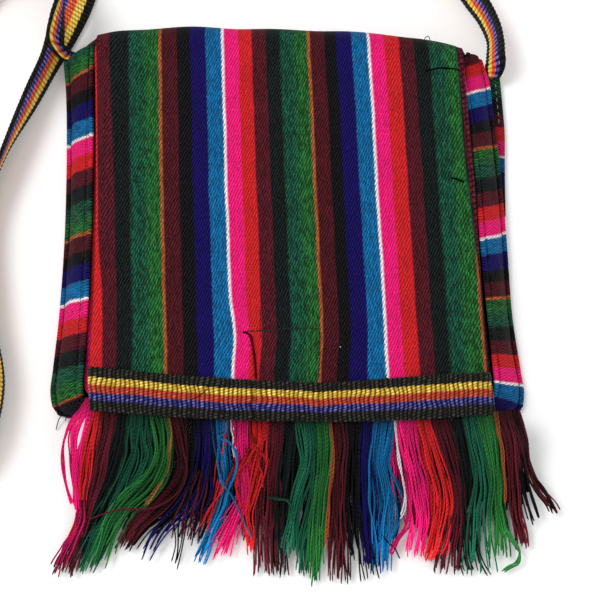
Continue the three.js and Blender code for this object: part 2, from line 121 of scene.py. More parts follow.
STRAP = [  # x, y, tilt about its run, lift of the lower edge, width
    (100.6, 70.6, -12, 3.9, 6.5), (101.2, 74.2, -45, 3.5, 12), (101, 78, -70, 2.8, 17), (101.2, 83.4, -77, 1.6, 19),
    (101, 91, -82, 0.4, 19), (97.2, 101.2, -82, 0.3, 19), (90.4, 112, -80, 0.3, 19), (79, 132, -80, 0.3, 19),
    (72, 182, -80, 0.3, 19), (58, 244, -80, 0.3, 19), (28, 286, -81, 0.3, 19), (-12, 299, -81, 0.3, 19),
    (-54, 283, -79, 0.3, 19), (-82, 242, -75, 0.3, 19), (-92.4, 190, -68, 0.3, 19), (-97.4, 146, -22, 0.3, 19),
    (-102.8, 113, -36, 0.3, 19), (-108.8, 91.4, -62, 0.3, 19), (-113.8, 77.3, -81, 0.3, 19),
    (-122, 58.5, -88, 0.3, 19), (-134, 30.7, -104, 0.3, 19), (-142.2, 2, -100, 0.3, 19), (-138.4, -40, -95, 0.3, 19),
    (-131, -80.5, -90, 0.3, 19), (-139, -112, -94, 0.3, 19), (-158, -124, -101, 0.3, 19), (-173, -104, -112, 0.3, 19),
    (-177, -60, -130, 0.3, 19), (-177, -5, -152, 0.3, 19), (-173, 50, -174, 0.3, 19), (-163, 98, -197, 0.4, 19),
    (-145, 126, -215, 1.6, 19), (-122.2, 131, -248, 9.2, 19), (-110.6, 119.4, -268, 17.4, 19),
    (-106, 103, -277, 16.4, 19), (-108, 91.4, -264, 12.4, 18), (-109.8, 84.8, -247, 7.6, 14.5),
    (-106.8, 81.8, -208, 4.2, 7.5), (-103.3, 80, -183, 4.2, 7), (-100.6, 73.8, -180, 3.2, 7),
]
# Fringe: how far down it is, height of its middle, depth of the bunch.
FALL = [
    (0, 22.0, 1.6), (0.06, 20.6, 2.6), (0.2, 14.4, 6.0), (0.4, 8.4, 8.0), (0.62, 5.2, 7.0), (0.82, 3.9, 5.6),
    (1, 2.6, 3.6),
]
FRINGE_LONG = 68.0
# Bunches of fringe yarn: name, colour, yarns, how high it lies in the bunch, and its outline from the top down as the
# camera sees it on a level 10 mm above the table: y, left x, right x.
TUFTS = [
    ("pink_outer", "pink", 4, 0.80, [(-87.7, -91.1, -88.4), (-94.9, -96.7, -94.5), (-100.3, -99.2, -97.9), (-106.1, -100.3, -99.4), (-112.8, -100.3, -99.4), (-121.7, -99.0, -97.9), (-130.5, -95.8, -94.7), (-136.6, -92.9, -92.2)]),
    ("pink_left", "pink", 9, 0.80, [(-85.9, -90.3, -87.5), (-92.7, -93.6, -86.8), (-101.7, -96.9, -88.8), (-110.6, -95.9, -91.2), (-119.5, -95.1, -91.7), (-129.2, -94.0, -91.6), (-137.5, -92.6, -91.1)]),
    ("pink_under", "pink", 9, 0.60, [(-85.9, -90.3, -87.5), (-92.7, -93.6, -86.8), (-101.7, -96.9, -88.8), (-110.6, -95.9, -91.2), (-119.5, -95.1, -91.7), (-129.2, -94.0, -91.6), (-137.5, -92.6, -91.1)]),
    ("crimson_tips", "pink", 8, 0.85, [(-130.5, -92.7, -89.5), (-137.1, -92.4, -89.3), (-143.6, -93.5, -90.4), (-150.5, -98.1, -93.7), (-163.8, -103.7, -98.0)]),
    ("maroon_tips", "maroon", 14, 0.80, [(-130.5, -92.7, -88.6), (-137.1, -92.4, -88.4), (-143.6, -93.0, -89.0), (-150.5, -97.2, -91.0), (-163.8, -102.9, -93.6)]),
    ("red_left", "red", 18, 0.65, [(-89.5, -87.9, -82.9), (-99.4, -89.8, -83.9), (-110.6, -91.6, -86.2), (-119.5, -92.2, -87.2), (-126.1, -92.8, -88.3), (-134.0, -92.1, -89.0), (-141.4, -92.2, -90.0), (-150.1, -95.0, -92.4)]),
    ("maroon_left", "maroon", 26, 0.60, [(-90.4, -84.2, -75.1), (-101.7, -85.6, -76.6), (-110.6, -87.6, -78.6), (-119.5, -89.0, -80.5), (-128.3, -90.5, -83.3), (-136.6, -91.5, -85.7), (-147.9, -95.1, -89.3), (-162.5, -98.9, -92.8)]),
    ("black_left", "black", 24, 0.50, [(-90.9, -75.6, -68.8), (-103.9, -77.0, -69.7), (-110.6, -78.6, -70.9), (-119.5, -81.0, -73.3), (-128.3, -84.7, -77.1), (-137.1, -87.5, -80.8), (-147.9, -92.4, -85.3), (-160.4, -96.4, -89.3)]),
    ("teal_left", "teal", 34, 0.60, [(-91.3, -69.7, -59.7), (-103.9, -70.6, -58.0), (-110.6, -70.9, -56.9), (-119.5, -73.8, -60.3), (-126.1, -77.2, -64.6), (-135.7, -81.3, -71.5), (-145.8, -86.3, -77.9), (-163.0, -93.2, -84.8)]),
    ("green_left", "green", 24, 0.70, [(-91.3, -61.0, -52.9), (-101.7, -58.5, -50.8), (-110.6, -57.8, -51.1), (-119.5, -62.1, -52.2), (-126.1, -69.1, -56.6), (-132.7, -75.2, -64.4), (-139.2, -79.4, -70.5), (-148.8, -82.6, -74.7), (-163.0, -88.3, -79.1)]),
    ("green_swing", "green", 4, 0.95, [(-92.2, -54.7, -52.9), (-103.9, -51.7, -50.8), (-112.8, -52.4, -51.0), (-121.7, -54.9, -53.1), (-130.5, -60.9, -58.2), (-137.1, -70.6, -65.2)]),
    ("orange_left", "orange", 4, 0.90, [(-92.2, -53.8, -52.4), (-101.7, -51.7, -50.6), (-110.6, -52.4, -51.3), (-119.5, -54.0, -52.7), (-127.0, -58.8, -56.5), (-133.6, -64.0, -62.2)]),
    ("maroon_mid", "maroon2", 20, 0.45, [(-92.7, -51.9, -45.6), (-103.9, -49.9, -44.0), (-115.1, -47.8, -43.3), (-126.1, -53.4, -45.8), (-134.9, -63.5, -53.2), (-143.6, -70.8, -64.1), (-151.4, -73.7, -69.3)]),
    ("maroon_loop", "maroon2", 2, 0.97, [(-94.9, -49.2, -47.8), (-101.7, -47.2, -46.3), (-109.3, -45.7, -44.8), (-116.8, -44.2, -43.5), (-123.9, -45.9, -45.0), (-130.5, -51.1, -50.2), (-134.0, -59.9, -58.6), (-135.7, -75.1, -73.3), (-138.8, -88.3, -85.7)]),
    ("black_mid", "black2", 12, 0.45, [(-93.1, -45.6, -39.7), (-106.1, -45.3, -39.9), (-117.3, -46.9, -40.6), (-128.3, -52.0, -43.1), (-137.1, -60.8, -50.1), (-145.8, -69.4, -60.5), (-156.1, -76.2, -66.5)]),
    ("navy_mid", "navy", 10, 0.50, [(-93.6, -39.7, -32.9), (-106.1, -39.0, -33.1), (-117.3, -40.6, -34.3), (-128.3, -44.9, -36.8), (-137.1, -53.2, -43.8), (-145.8, -59.6, -51.6), (-157.8, -64.6, -59.3)]),
    ("black_long", "black2", 4, 0.40, [(-103.9, -44.5, -39.9), (-117.3, -45.1, -41.5), (-130.5, -47.5, -41.7), (-141.0, -50.0, -42.0), (-150.1, -48.9, -44.5), (-160.8, -50.9, -46.4)]),
    ("navy_fill", "navy", 10, 0.40, [(-94.0, -36.5, -31.1), (-106.1, -36.8, -30.9), (-117.3, -37.0, -29.8), (-128.3, -38.6, -28.8), (-137.1, -42.9, -31.8), (-147.9, -49.8, -38.3)]),
    ("maroon_low", "maroon2", 9, 0.50, [(-117.3, -39.7, -33.4), (-130.5, -44.8, -35.0), (-139.2, -46.9, -36.2), (-147.9, -48.0, -37.4)]),
    ("black_fill", "black2", 14, 0.35, [(-94.0, -33.8, -25.6), (-106.1, -34.5, -25.5), (-119.5, -35.2, -25.3), (-132.7, -38.5, -26.0), (-143.6, -42.8, -28.6), (-150.5, -45.3, -32.0)]),
    ("red_fill", "red", 4, 0.55, [(-94.0, -28.3, -24.7), (-108.4, -30.0, -26.3), (-121.7, -31.6, -27.1), (-134.9, -34.9, -30.5), (-143.6, -38.4, -33.9)]),
    ("cyan_mid", "cyan", 18, 0.60, [(-93.6, -32.9, -25.2), (-103.9, -31.8, -25.5), (-115.1, -29.9, -24.5), (-126.1, -28.8, -24.3), (-134.9, -31.4, -26.0), (-145.8, -36.1, -30.3), (-158.3, -40.8, -35.4)]),
    ("cyan_curl", "cyan", 2, 1.00, [(-99.4, -26.5, -25.6), (-103.0, -30.5, -29.6), (-104.4, -25.5, -24.6), (-109.3, -22.3, -21.4), (-117.3, -22.2, -21.3), (-125.2, -25.2, -24.3), (-132.7, -26.9, -26.0), (-143.6, -32.1, -31.2), (-153.1, -36.0, -34.6)]),
    ("cyan_cross", "cyan", 2, 1.00, [(-100.3, -28.7, -27.8), (-108.4, -30.0, -29.3), (-115.5, -30.3, -29.6), (-122.6, -28.4, -27.7), (-128.7, -23.9, -23.2), (-135.7, -20.7, -20.0), (-141.8, -17.5, -16.8), (-147.5, -14.3, -13.4)]),
    ("white_mid", "white", 2, 0.80, [(-94.0, -24.7, -23.4), (-100.3, -23.7, -22.8), (-106.1, -23.2, -21.9), (-113.7, -22.7, -20.9)]),
    ("pink_mid", "pink", 24, 0.60, [(-94.5, -23.4, -15.7), (-106.1, -22.8, -15.6), (-117.3, -21.3, -14.6), (-128.3, -20.7, -14.5), (-135.7, -24.2, -16.2), (-145.8, -31.2, -18.8), (-156.1, -36.8, -21.3)]),
    ("red_mid", "red", 18, 0.70, [(-94.5, -15.7, -7.5), (-106.1, -15.6, -7.9), (-117.3, -17.3, -9.2), (-128.3, -18.5, -12.7), (-137.1, -19.7, -14.4), (-145.8, -17.0, -13.4), (-154.0, -16.0, -13.4)]),
    ("red_slash", "red", 4, 1.00, [(-95.8, -9.8, -7.9), (-102.6, -10.2, -8.4), (-108.4, -14.6, -12.8), (-113.7, -18.6, -16.8), (-119.5, -23.5, -22.2)]),
    ("red_back", "red", 3, 1.00, [(-101.2, -15.6, -13.8), (-106.1, -13.7, -11.9), (-111.1, -10.1, -8.8), (-115.5, -7.4, -6.0)]),
    ("red_bow", "red", 3, 1.00, [(-107.5, -16.0, -14.6), (-112.8, -18.6, -17.3), (-118.2, -20.8, -19.9), (-123.5, -22.1, -21.0), (-129.2, -20.7, -19.8), (-134.9, -19.8, -18.4)]),
    ("red_hook", "red", 2, 1.00, [(-106.6, -13.3, -12.4), (-113.7, -11.9, -11.0), (-119.9, -10.5, -9.6), (-127.4, -9.6, -8.7)]),
    ("red_far", "red", 2, 0.95, [(-115.5, -22.7, -21.8), (-122.6, -26.6, -25.7), (-128.3, -30.1, -29.2), (-134.9, -34.0, -33.2), (-142.3, -38.4, -37.0)]),
    ("maroon_c", "maroon", 26, 0.55, [(-94.9, -7.5, -0.2), (-106.1, -7.9, -0.7), (-117.3, -9.6, -2.0), (-128.3, -11.8, -1.9), (-139.2, -12.2, -1.5), (-150.1, -12.5, -1.0), (-163.8, -12.9, -0.5)]),
    ("black_c", "black", 20, 0.50, [(-94.9, -0.2, 6.5), (-106.1, -1.6, 5.2), (-117.3, -2.9, 3.4), (-128.3, -3.7, 1.6), (-139.2, -4.6, 0.8), (-150.1, -4.5, 0.8), (-164.3, -4.0, 0.4)]),
    ("teal_c", "teal", 20, 0.75, [(-94.5, 5.6, 12.4), (-103.9, 7.0, 14.2), (-112.8, 7.9, 13.7), (-121.7, 5.7, 11.5), (-130.5, 3.4, 8.3), (-139.2, 2.1, 6.1), (-147.9, 0.8, 5.7), (-155.7, -0.1, 5.2)]),
    ("teal_wisp", "teal", 3, 1.00, [(-129.2, -8.2, -6.4), (-129.6, -3.7, -2.4), (-130.9, 0.7, 2.1), (-134.0, 2.5, 3.9), (-139.7, 3.4, 5.2)]),
    ("dark_c", "teal", 20, 0.50, [(-94.5, 9.7, 16.1), (-106.1, 10.6, 16.9), (-117.3, 11.5, 16.9), (-128.3, 10.6, 15.9), (-139.2, 7.9, 14.1), (-150.1, 6.1, 11.4), (-163.8, 5.2, 11.9)]),
    ("green_c", "green", 30, 0.70, [(-94.5, 14.7, 21.0), (-106.1, 16.0, 21.4), (-117.3, 15.5, 20.9), (-128.3, 13.7, 19.1), (-139.2, 12.3, 18.1), (-150.1, 11.9, 17.2), (-167.7, 11.0, 16.3)]),
    ("orange_c", "orange", 3, 0.90, [(-95.4, 20.1, 21.5), (-106.1, 21.4, 22.3), (-117.3, 21.1, 22.0), (-126.1, 19.5, 20.9), (-139.2, 19.0, 19.9), (-151.8, 17.6, 18.7)]),
    ("maroon_r", "maroon2", 22, 0.50, [(-95.8, 21.5, 28.7), (-106.1, 22.3, 29.1), (-117.3, 21.4, 27.7), (-128.3, 20.4, 27.1), (-139.2, 20.4, 27.0), (-152.2, 19.4, 27.4), (-167.2, 18.5, 28.1)]),
    ("black_r", "black2", 20, 0.50, [(-95.8, 28.7, 34.6), (-108.4, 27.3, 34.0), (-121.7, 26.3, 33.5), (-132.7, 26.2, 33.8), (-143.6, 26.6, 36.3), (-154.4, 26.5, 39.8), (-166.0, 26.8, 41.8)]),
    ("navy_r", "navy", 26, 0.60, [(-95.8, 34.6, 41.4), (-108.4, 33.6, 40.3), (-121.7, 33.0, 40.2), (-132.7, 32.9, 41.4), (-143.6, 34.1, 41.7), (-152.2, 36.2, 41.6), (-162.5, 37.0, 41.9)]),
    ("navy_cross", "navy", 1, 1.00, [(-130.5, 40.1, 40.5), (-139.2, 41.3, 41.7), (-147.9, 45.2, 45.6), (-153.1, 49.1, 49.5), (-156.5, 51.7, 52.1)]),
    ("cyan_r", "cyan", 30, 0.65, [(-94.9, 41.4, 50.0), (-106.1, 39.9, 48.5), (-115.1, 38.9, 47.5), (-123.9, 39.7, 50.5), (-132.7, 40.0, 52.5), (-139.2, 40.4, 51.5), (-150.1, 40.7, 47.8), (-161.7, 40.6, 46.3)]),
    ("white_r", "white", 3, 0.95, [(-94.5, 49.4, 50.7), (-103.9, 50.3, 51.0), (-112.8, 51.1, 52.0), (-121.7, 52.7, 53.6), (-129.6, 53.7, 54.4), (-135.7, 52.5, 53.4), (-141.4, 49.3, 50.6)]),
    ("pink_r", "pink", 26, 0.65, [(-94.5, 50.9, 59.1), (-106.1, 52.1, 60.2), (-115.1, 53.8, 61.8), (-123.9, 55.4, 63.9), (-132.7, 56.1, 65.0), (-141.4, 56.8, 64.9), (-148.8, 55.8, 63.8), (-155.3, 54.8, 62.8)]),
    ("pink_sweep", "pink", 5, 0.70, [(-117.3, 52.8, 55.5), (-126.1, 53.6, 56.2), (-134.0, 55.2, 57.0), (-141.4, 53.3, 56.8), (-147.9, 48.7, 52.3), (-155.3, 45.5, 47.7)]),
    ("red_r", "red", 26, 0.65, [(-94.5, 58.6, 66.3), (-106.1, 61.1, 68.8), (-115.1, 63.2, 71.7), (-123.9, 65.7, 74.2), (-132.7, 66.4, 74.9), (-141.4, 65.7, 73.8), (-150.1, 63.8, 71.8), (-157.8, 61.4, 68.5)]),
    ("maroon_rr", "maroon", 28, 0.55, [(-94.0, 66.4, 74.1), (-106.1, 69.2, 77.4), (-115.1, 72.6, 78.9), (-123.9, 75.1, 80.0), (-132.7, 74.9, 80.2), (-141.4, 72.4, 80.0), (-152.2, 67.3, 78.8), (-163.0, 64.4, 77.6)]),
    ("black_rr", "black", 15, 0.50, [(-93.6, 73.6, 80.9), (-106.1, 75.6, 82.3), (-117.3, 77.5, 83.4), (-126.1, 78.6, 83.1), (-134.9, 78.4, 83.7), (-145.8, 77.2, 84.3), (-156.5, 76.9, 86.6), (-163.8, 77.6, 90.8)]),
    ("teal_rr", "teal", 20, 0.60, [(-93.1, 80.4, 88.1), (-106.1, 82.3, 90.0), (-117.3, 84.7, 91.4), (-126.1, 84.9, 92.1), (-134.9, 82.8, 90.9), (-145.8, 81.6, 90.5), (-163.8, 80.2, 91.7)]),
    ("green_rr", "green", 30, 0.65, [(-92.2, 87.3, 95.9), (-103.9, 89.6, 97.3), (-115.1, 92.0, 97.8), (-123.9, 92.6, 97.9), (-132.7, 91.8, 98.1), (-141.4, 92.0, 99.6), (-156.5, 91.1, 100.8)]),
    ("green_loop", "green", 4, 0.70, [(-132.7, 95.0, 97.6), (-142.7, 96.8, 99.1), (-147.9, 100.2, 102.0), (-153.1, 103.6, 104.9), (-157.4, 102.5, 103.9), (-159.6, 98.9, 100.7), (-161.7, 95.3, 97.1)]),
    ("orange_rr", "orange", 3, 0.80, [(-91.8, 95.0, 96.8), (-103.9, 96.8, 98.2), (-115.1, 98.0, 99.2), (-126.1, 98.3, 99.2), (-133.1, 98.5, 99.4)]),
    ("maroon_rrr", "maroon2", 18, 0.55, [(-91.8, 96.3, 102.7), (-103.9, 100.0, 105.0), (-115.1, 101.0, 105.4), (-126.1, 101.0, 105.5), (-137.1, 101.9, 106.4), (-145.8, 104.3, 108.3), (-151.8, 105.0, 108.9)]),
    ("outer_swing", "maroon2", 9, 0.50, [(-91.3, 100.4, 107.7), (-101.7, 105.0, 110.0), (-110.6, 107.0, 110.6), (-119.5, 109.3, 112.9), (-126.1, 112.6, 117.1), (-131.4, 116.5, 121.4), (-136.2, 119.4, 123.8)]),
    ("black_mid_out", "black2", 7, 0.45, [(-91.3, 99.5, 106.8), (-103.9, 104.5, 109.0), (-115.1, 105.4, 109.5), (-126.1, 105.9, 111.7), (-134.9, 108.3, 114.5), (-141.4, 109.8, 116.0)]),
    ("dark_out", "black2", 4, 0.50, [(-91.8, 99.5, 106.8), (-106.1, 105.8, 109.8), (-117.3, 107.6, 111.2), (-126.1, 112.2, 116.7), (-132.7, 116.4, 120.9), (-136.6, 118.5, 121.6)]),
    ("maroon_fill_r", "maroon2", 10, 0.35, [(-91.8, 93.2, 103.1), (-103.9, 95.5, 103.6), (-117.3, 96.4, 104.0), (-130.5, 97.3, 104.4)]),
    ("black_gap", "black", 10, 0.35, [(-94.9, 1.6, 11.5), (-108.4, 0.7, 10.6), (-121.7, -1.1, 8.8), (-134.9, -1.9, 7.0), (-145.8, -2.8, 5.2)]),
    ("maroon_gap", "maroon", 10, 0.35, [(-94.9, -13.4, -4.3), (-112.8, -15.5, -6.5), (-126.1, -16.3, -7.3), (-137.1, -17.1, -8.2), (-147.9, -17.0, -9.9)]),
    ("pink_gap", "pink", 10, 0.30, [(-94.9, 48.2, 54.1), (-108.4, 48.0, 55.7), (-121.7, 49.1, 57.2), (-132.7, 50.3, 57.9), (-143.6, 50.6, 57.7)]),
    # The void bunches are thick dark yarns laid under the rest as painted shade between the strands.
    ("void_mid", "black2", 26, 0.22, [(-94.9, -36.5, -10.2), (-108.4, -36.3, -9.2), (-121.7, -37.8, -10.0), (-131.8, -39.5, -13.5), (-139.2, -42.0, -19.7)]),
    ("void_left", "black", 40, 0.20, [(-90.4, -86.9, -42.9), (-103.9, -87.8, -42.7), (-117.3, -89.1, -44.2), (-128.3, -90.1, -49.4), (-135.7, -89.8, -57.2)]),
    ("black_bridge", "black2", 14, 0.30, [(-99.4, -52.7, -41.8), (-117.3, -59.5, -44.2), (-126.1, -66.4, -50.3), (-132.7, -72.5, -57.3), (-138.4, -76.8, -65.2)]),
    ("void_right", "black2", 26, 0.20, [(-94.9, 7.0, 97.6), (-108.4, 8.8, 97.1), (-121.7, 8.8, 96.7), (-132.7, 9.7, 96.3)]),
    ("void_far", "black2", 14, 0.20, [(-91.3, 87.7, 105.0), (-103.9, 91.0, 108.1), (-115.1, 92.4, 109.5), (-126.1, 93.8, 109.1), (-132.7, 96.3, 109.7)]),
]

# ---- helpers ------------------------------------------------------------------------------------------------
def along(rows, x):
    """Smooth table lookup: the first column is the key, the others are the values."""
    rows = np.asarray(rows, float)
    k, v = rows[:, 0], rows[:, 1:]
    if k[-1] < k[0]:
        k, v = k[::-1], v[::-1]
    x = np.clip(np.asarray(x, float), k[0], k[-1])
    i = np.clip(np.searchsorted(k, x, side="right") - 1, 0, len(k) - 2)
    slope = np.empty_like(v)
    slope[1:-1] = (v[2:] - v[:-2]) / (k[2:] - k[:-2])[:, None]
    slope[0] = (v[1] - v[0]) / (k[1] - k[0])
    slope[-1] = (v[-1] - v[-2]) / (k[-1] - k[-2])
    h = (k[i + 1] - k[i])[..., None]
    s = (x - k[i])[..., None] / h
    s2, s3 = s * s, s * s * s
    out = (2 * s3 - 3 * s2 + 1) * v[i] + (s3 - 2 * s2 + s) * h * slope[i] + (3 * s2 - 2 * s3) * v[i + 1] + (s3 - s2) * h * slope[i + 1]
    return out[..., 0] if out.shape[-1] == 1 else out


def spline(points, t):
    """Centripetal curve through points, at t from 0 to 1 spread evenly over the points."""
    p = np.asarray(points, float)
    n = len(p)
    p = np.vstack([2 * p[0] - p[1], p, 2 * p[-1] - p[-2]])
    f = np.clip(np.asarray(t, float), 0, 1) * (n - 1)
    i = np.minimum(f.astype(int), n - 2)
    w = (f - i)[:, None]
    p0, p1, p2, p3 = p[i], p[i + 1], p[i + 2], p[i + 3]
    d = lambda a, b: np.maximum(((a - b) ** 2).sum(1) ** 0.25, 1e-4)[:, None]
    d0, d1, d2 = d(p0, p1), d(p1, p2), d(p2, p3)
    t1 = ((p1 - p0) / d0 - (p2 - p0) / (d0 + d1) + (p2 - p1) / d1) * d1
    t2 = ((p2 - p1) / d1 - (p3 - p1) / (d1 + d2) + (p3 - p2) / d2) * d1
    return p1 + t1 * w + (-3 * p1 + 3 * p2 - 2 * t1 - t2) * w ** 2 + (2 * p1 - 2 * p2 + t1 + t2) * w ** 3


def unit(v):
    return v / np.maximum(np.linalg.norm(v, axis=-1, keepdims=True), 1e-9)


def smooth(a, b, x):
    t = np.clip((x - a) / (b - a), 0, 1)
    return t * t * (3 - 2 * t)


def lerp(a, b, t):
    return a + (b - a) * t


def ripple(x, y, seed, count=7, short=14.0, far=60.0):
    """Gentle uneven waves, about -1 to 1."""
    rng = np.random.default_rng(seed)
    out = 0.0
    for _ in range(count):
        turn, size, start = rng.uniform(0, 2 * math.pi), rng.uniform(short, far), rng.uniform(0, 2 * math.pi)
        out = out + np.sin((x * math.cos(turn) + y * math.sin(turn)) * 2 * math.pi / size + start)
    return out / math.sqrt(count)


def seen_at(x, y, z):
    """Slides a point charted on the level 10 mm above the table along the camera's line of sight to height z."""
    k = (EYE[2] - z) / (EYE[2] - 10.0)
    return EYE[0] + (x - EYE[0]) * k, EYE[1] + (y - EYE[1]) * k


def quads(rows, cols, first=0, turned=False):
    a = first + np.arange(rows - 1)[:, None] * cols + np.arange(cols - 1)[None, :]
    q = np.stack([a, a + 1, a + cols + 1, a + cols], -1).reshape(-1, 4)
    return q[:, ::-1] if turned else q


def face_normals(P):
    return unit(np.cross(np.gradient(P, axis=1), np.gradient(P, axis=0)))


def shell(P, uv, thick, relief_top=0.0, relief_low=0.0):
    """Closed wall about a grid of points: vertices, quads and texture places. The first face is on the side of the grid's normal."""
    rows, cols = P.shape[:2]
    n = rows * cols
    N = face_normals(P)
    half = np.broadcast_to(np.asarray(thick, float), (rows, cols))[..., None] / 2
    up = np.broadcast_to(np.asarray(relief_top, float), (rows, cols))[..., None]
    down = np.broadcast_to(np.asarray(relief_low, float), (rows, cols))[..., None]
    V = np.concatenate([(P + N * (half + up)).reshape(-1, 3), (P - N * (half + down)).reshape(-1, 3)])
    edge = np.concatenate([
        np.arange(cols), np.arange(1, rows) * cols + cols - 1, (rows - 1) * cols + np.arange(cols - 2, -1, -1),
        np.arange(rows - 2, 0, -1) * cols,
    ])
    after = np.roll(edge, -1)
    Q = np.concatenate([quads(rows, cols), quads(rows, cols, n, True), np.stack([after, edge, edge + n, after + n], -1)])
    W = np.concatenate([uv.reshape(-1, 2), uv.reshape(-1, 2)])
    return V, Q, W


def joined(parts):
    """Several (vertices, quads, texture places...) as one."""
    count, Vs, Qs, Ws = 0, [], [], []
    for V, Q, *W in parts:
        Vs.append(V)
        Qs.append(Q + count)
        Ws.append(W)
        count += len(V)
    return (np.concatenate(Vs), np.concatenate(Qs), *[np.concatenate(w) for w in zip(*Ws)])


def piece(name, V, Q, places, material, replaces=()):
    mesh = bpy.data.meshes.new(name)
    mesh.vertices.add(len(V))
    mesh.vertices.foreach_set("co", (V * MM).astype(np.float32).ravel())
    mesh.loops.add(Q.size)
    mesh.loops.foreach_set("vertex_index", Q.astype(np.int32).ravel())
    mesh.polygons.add(len(Q))
    mesh.polygons.foreach_set("loop_start", np.arange(0, Q.size, 4, dtype=np.int32))
    mesh.polygons.foreach_set("use_smooth", np.ones(len(Q), dtype=bool))
    for layer, uv in places.items():
        mesh.uv_layers.new(name=layer).data.foreach_set("uv", uv[Q.ravel()].astype(np.float32).ravel())
    mesh.update(calc_edges=True)
    mesh.validate()
    mesh.materials.append(material)
    obj = bpy.data.objects.new(name, mesh)
    bpy.context.scene.collection.objects.link(obj)
    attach(obj, "root")
    if replaces:
        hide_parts(*replaces)
    return obj


def tubes(paths, radii, sides, tags=None, extra=None):
    """Round yarns along paths, all with the same number of points: vertices, quads, (tag, length), (turn, length) and two more numbers a yarn."""
    paths = np.asarray(paths, float)
    count, k = paths.shape[:2]
    along_run = unit(np.gradient(paths, axis=1))
    ref = np.broadcast_to(np.array([0.05, 0.02, 1.0]), along_run.shape)
    side = unit(np.cross(along_run, ref))
    top = np.cross(side, along_run)
    angle = np.arange(sides + 1) / sides * 2 * math.pi
    R = np.broadcast_to(np.asarray(radii, float), (count, k))
    ring = side[:, :, None] * np.cos(angle)[None, None, :, None] + top[:, :, None] * np.sin(angle)[None, None, :, None]
    V = (paths[:, :, None] + ring * R[:, :, None, None]).reshape(-1, 3)
    base = quads(k, sides + 1, turned=True)
    Q = (base[None] + (np.arange(count) * k * (sides + 1))[:, None, None]).reshape(-1, 4)
    run = np.concatenate([np.zeros((count, 1)), np.linalg.norm(np.diff(paths, axis=1), axis=2).cumsum(1)], 1)
    run = np.broadcast_to(run[:, :, None], (count, k, sides + 1))
    tag = np.zeros(count) if tags is None else np.asarray(tags, float)
    tag = np.broadcast_to(tag[:, None, None], run.shape)
    turn = np.broadcast_to((angle / (2 * math.pi))[None, None, :], run.shape)
    layers = [np.stack([tag, run], -1).reshape(-1, 2), np.stack([turn, run], -1).reshape(-1, 2)]
    if extra is not None:
        layers.append(np.broadcast_to(np.asarray(extra, float)[:, None, None, :], run.shape + (2,)).reshape(-1, 2))
    return (V, Q, *layers)


def stitches(line, pitch, long, radius, arch=0.25, sides=5):
    """Short raised stitches along a line of points."""
    line = np.asarray(line, float)
    run = np.concatenate([[0], np.linalg.norm(np.diff(line, axis=0), axis=1).cumsum()])
    starts = np.arange(pitch * 0.3, run[-1] - long, pitch)
    k = np.array([0.0, 0.1, 0.35, 0.65, 0.9, 1.0])
    at = starts[:, None] + long * k[None, :]
    paths = np.stack([np.interp(at, run, line[:, c]) for c in range(3)], -1)
    paths[..., 2] += arch * (1 - (2 * k - 1) ** 2)[None, :]
    return tubes(paths, radius * np.array([0.25, 0.8, 1, 1, 0.8, 0.25])[None, :], sides)


# ---- materials ----------------------------------------------------------------------------------------------
def linear(rgb):
    c = np.asarray(rgb, float) / 255
    return tuple(np.where(c <= 0.04045, c / 12.92, ((c + 0.055) / 1.055) ** 2.4)) + (1.0,)


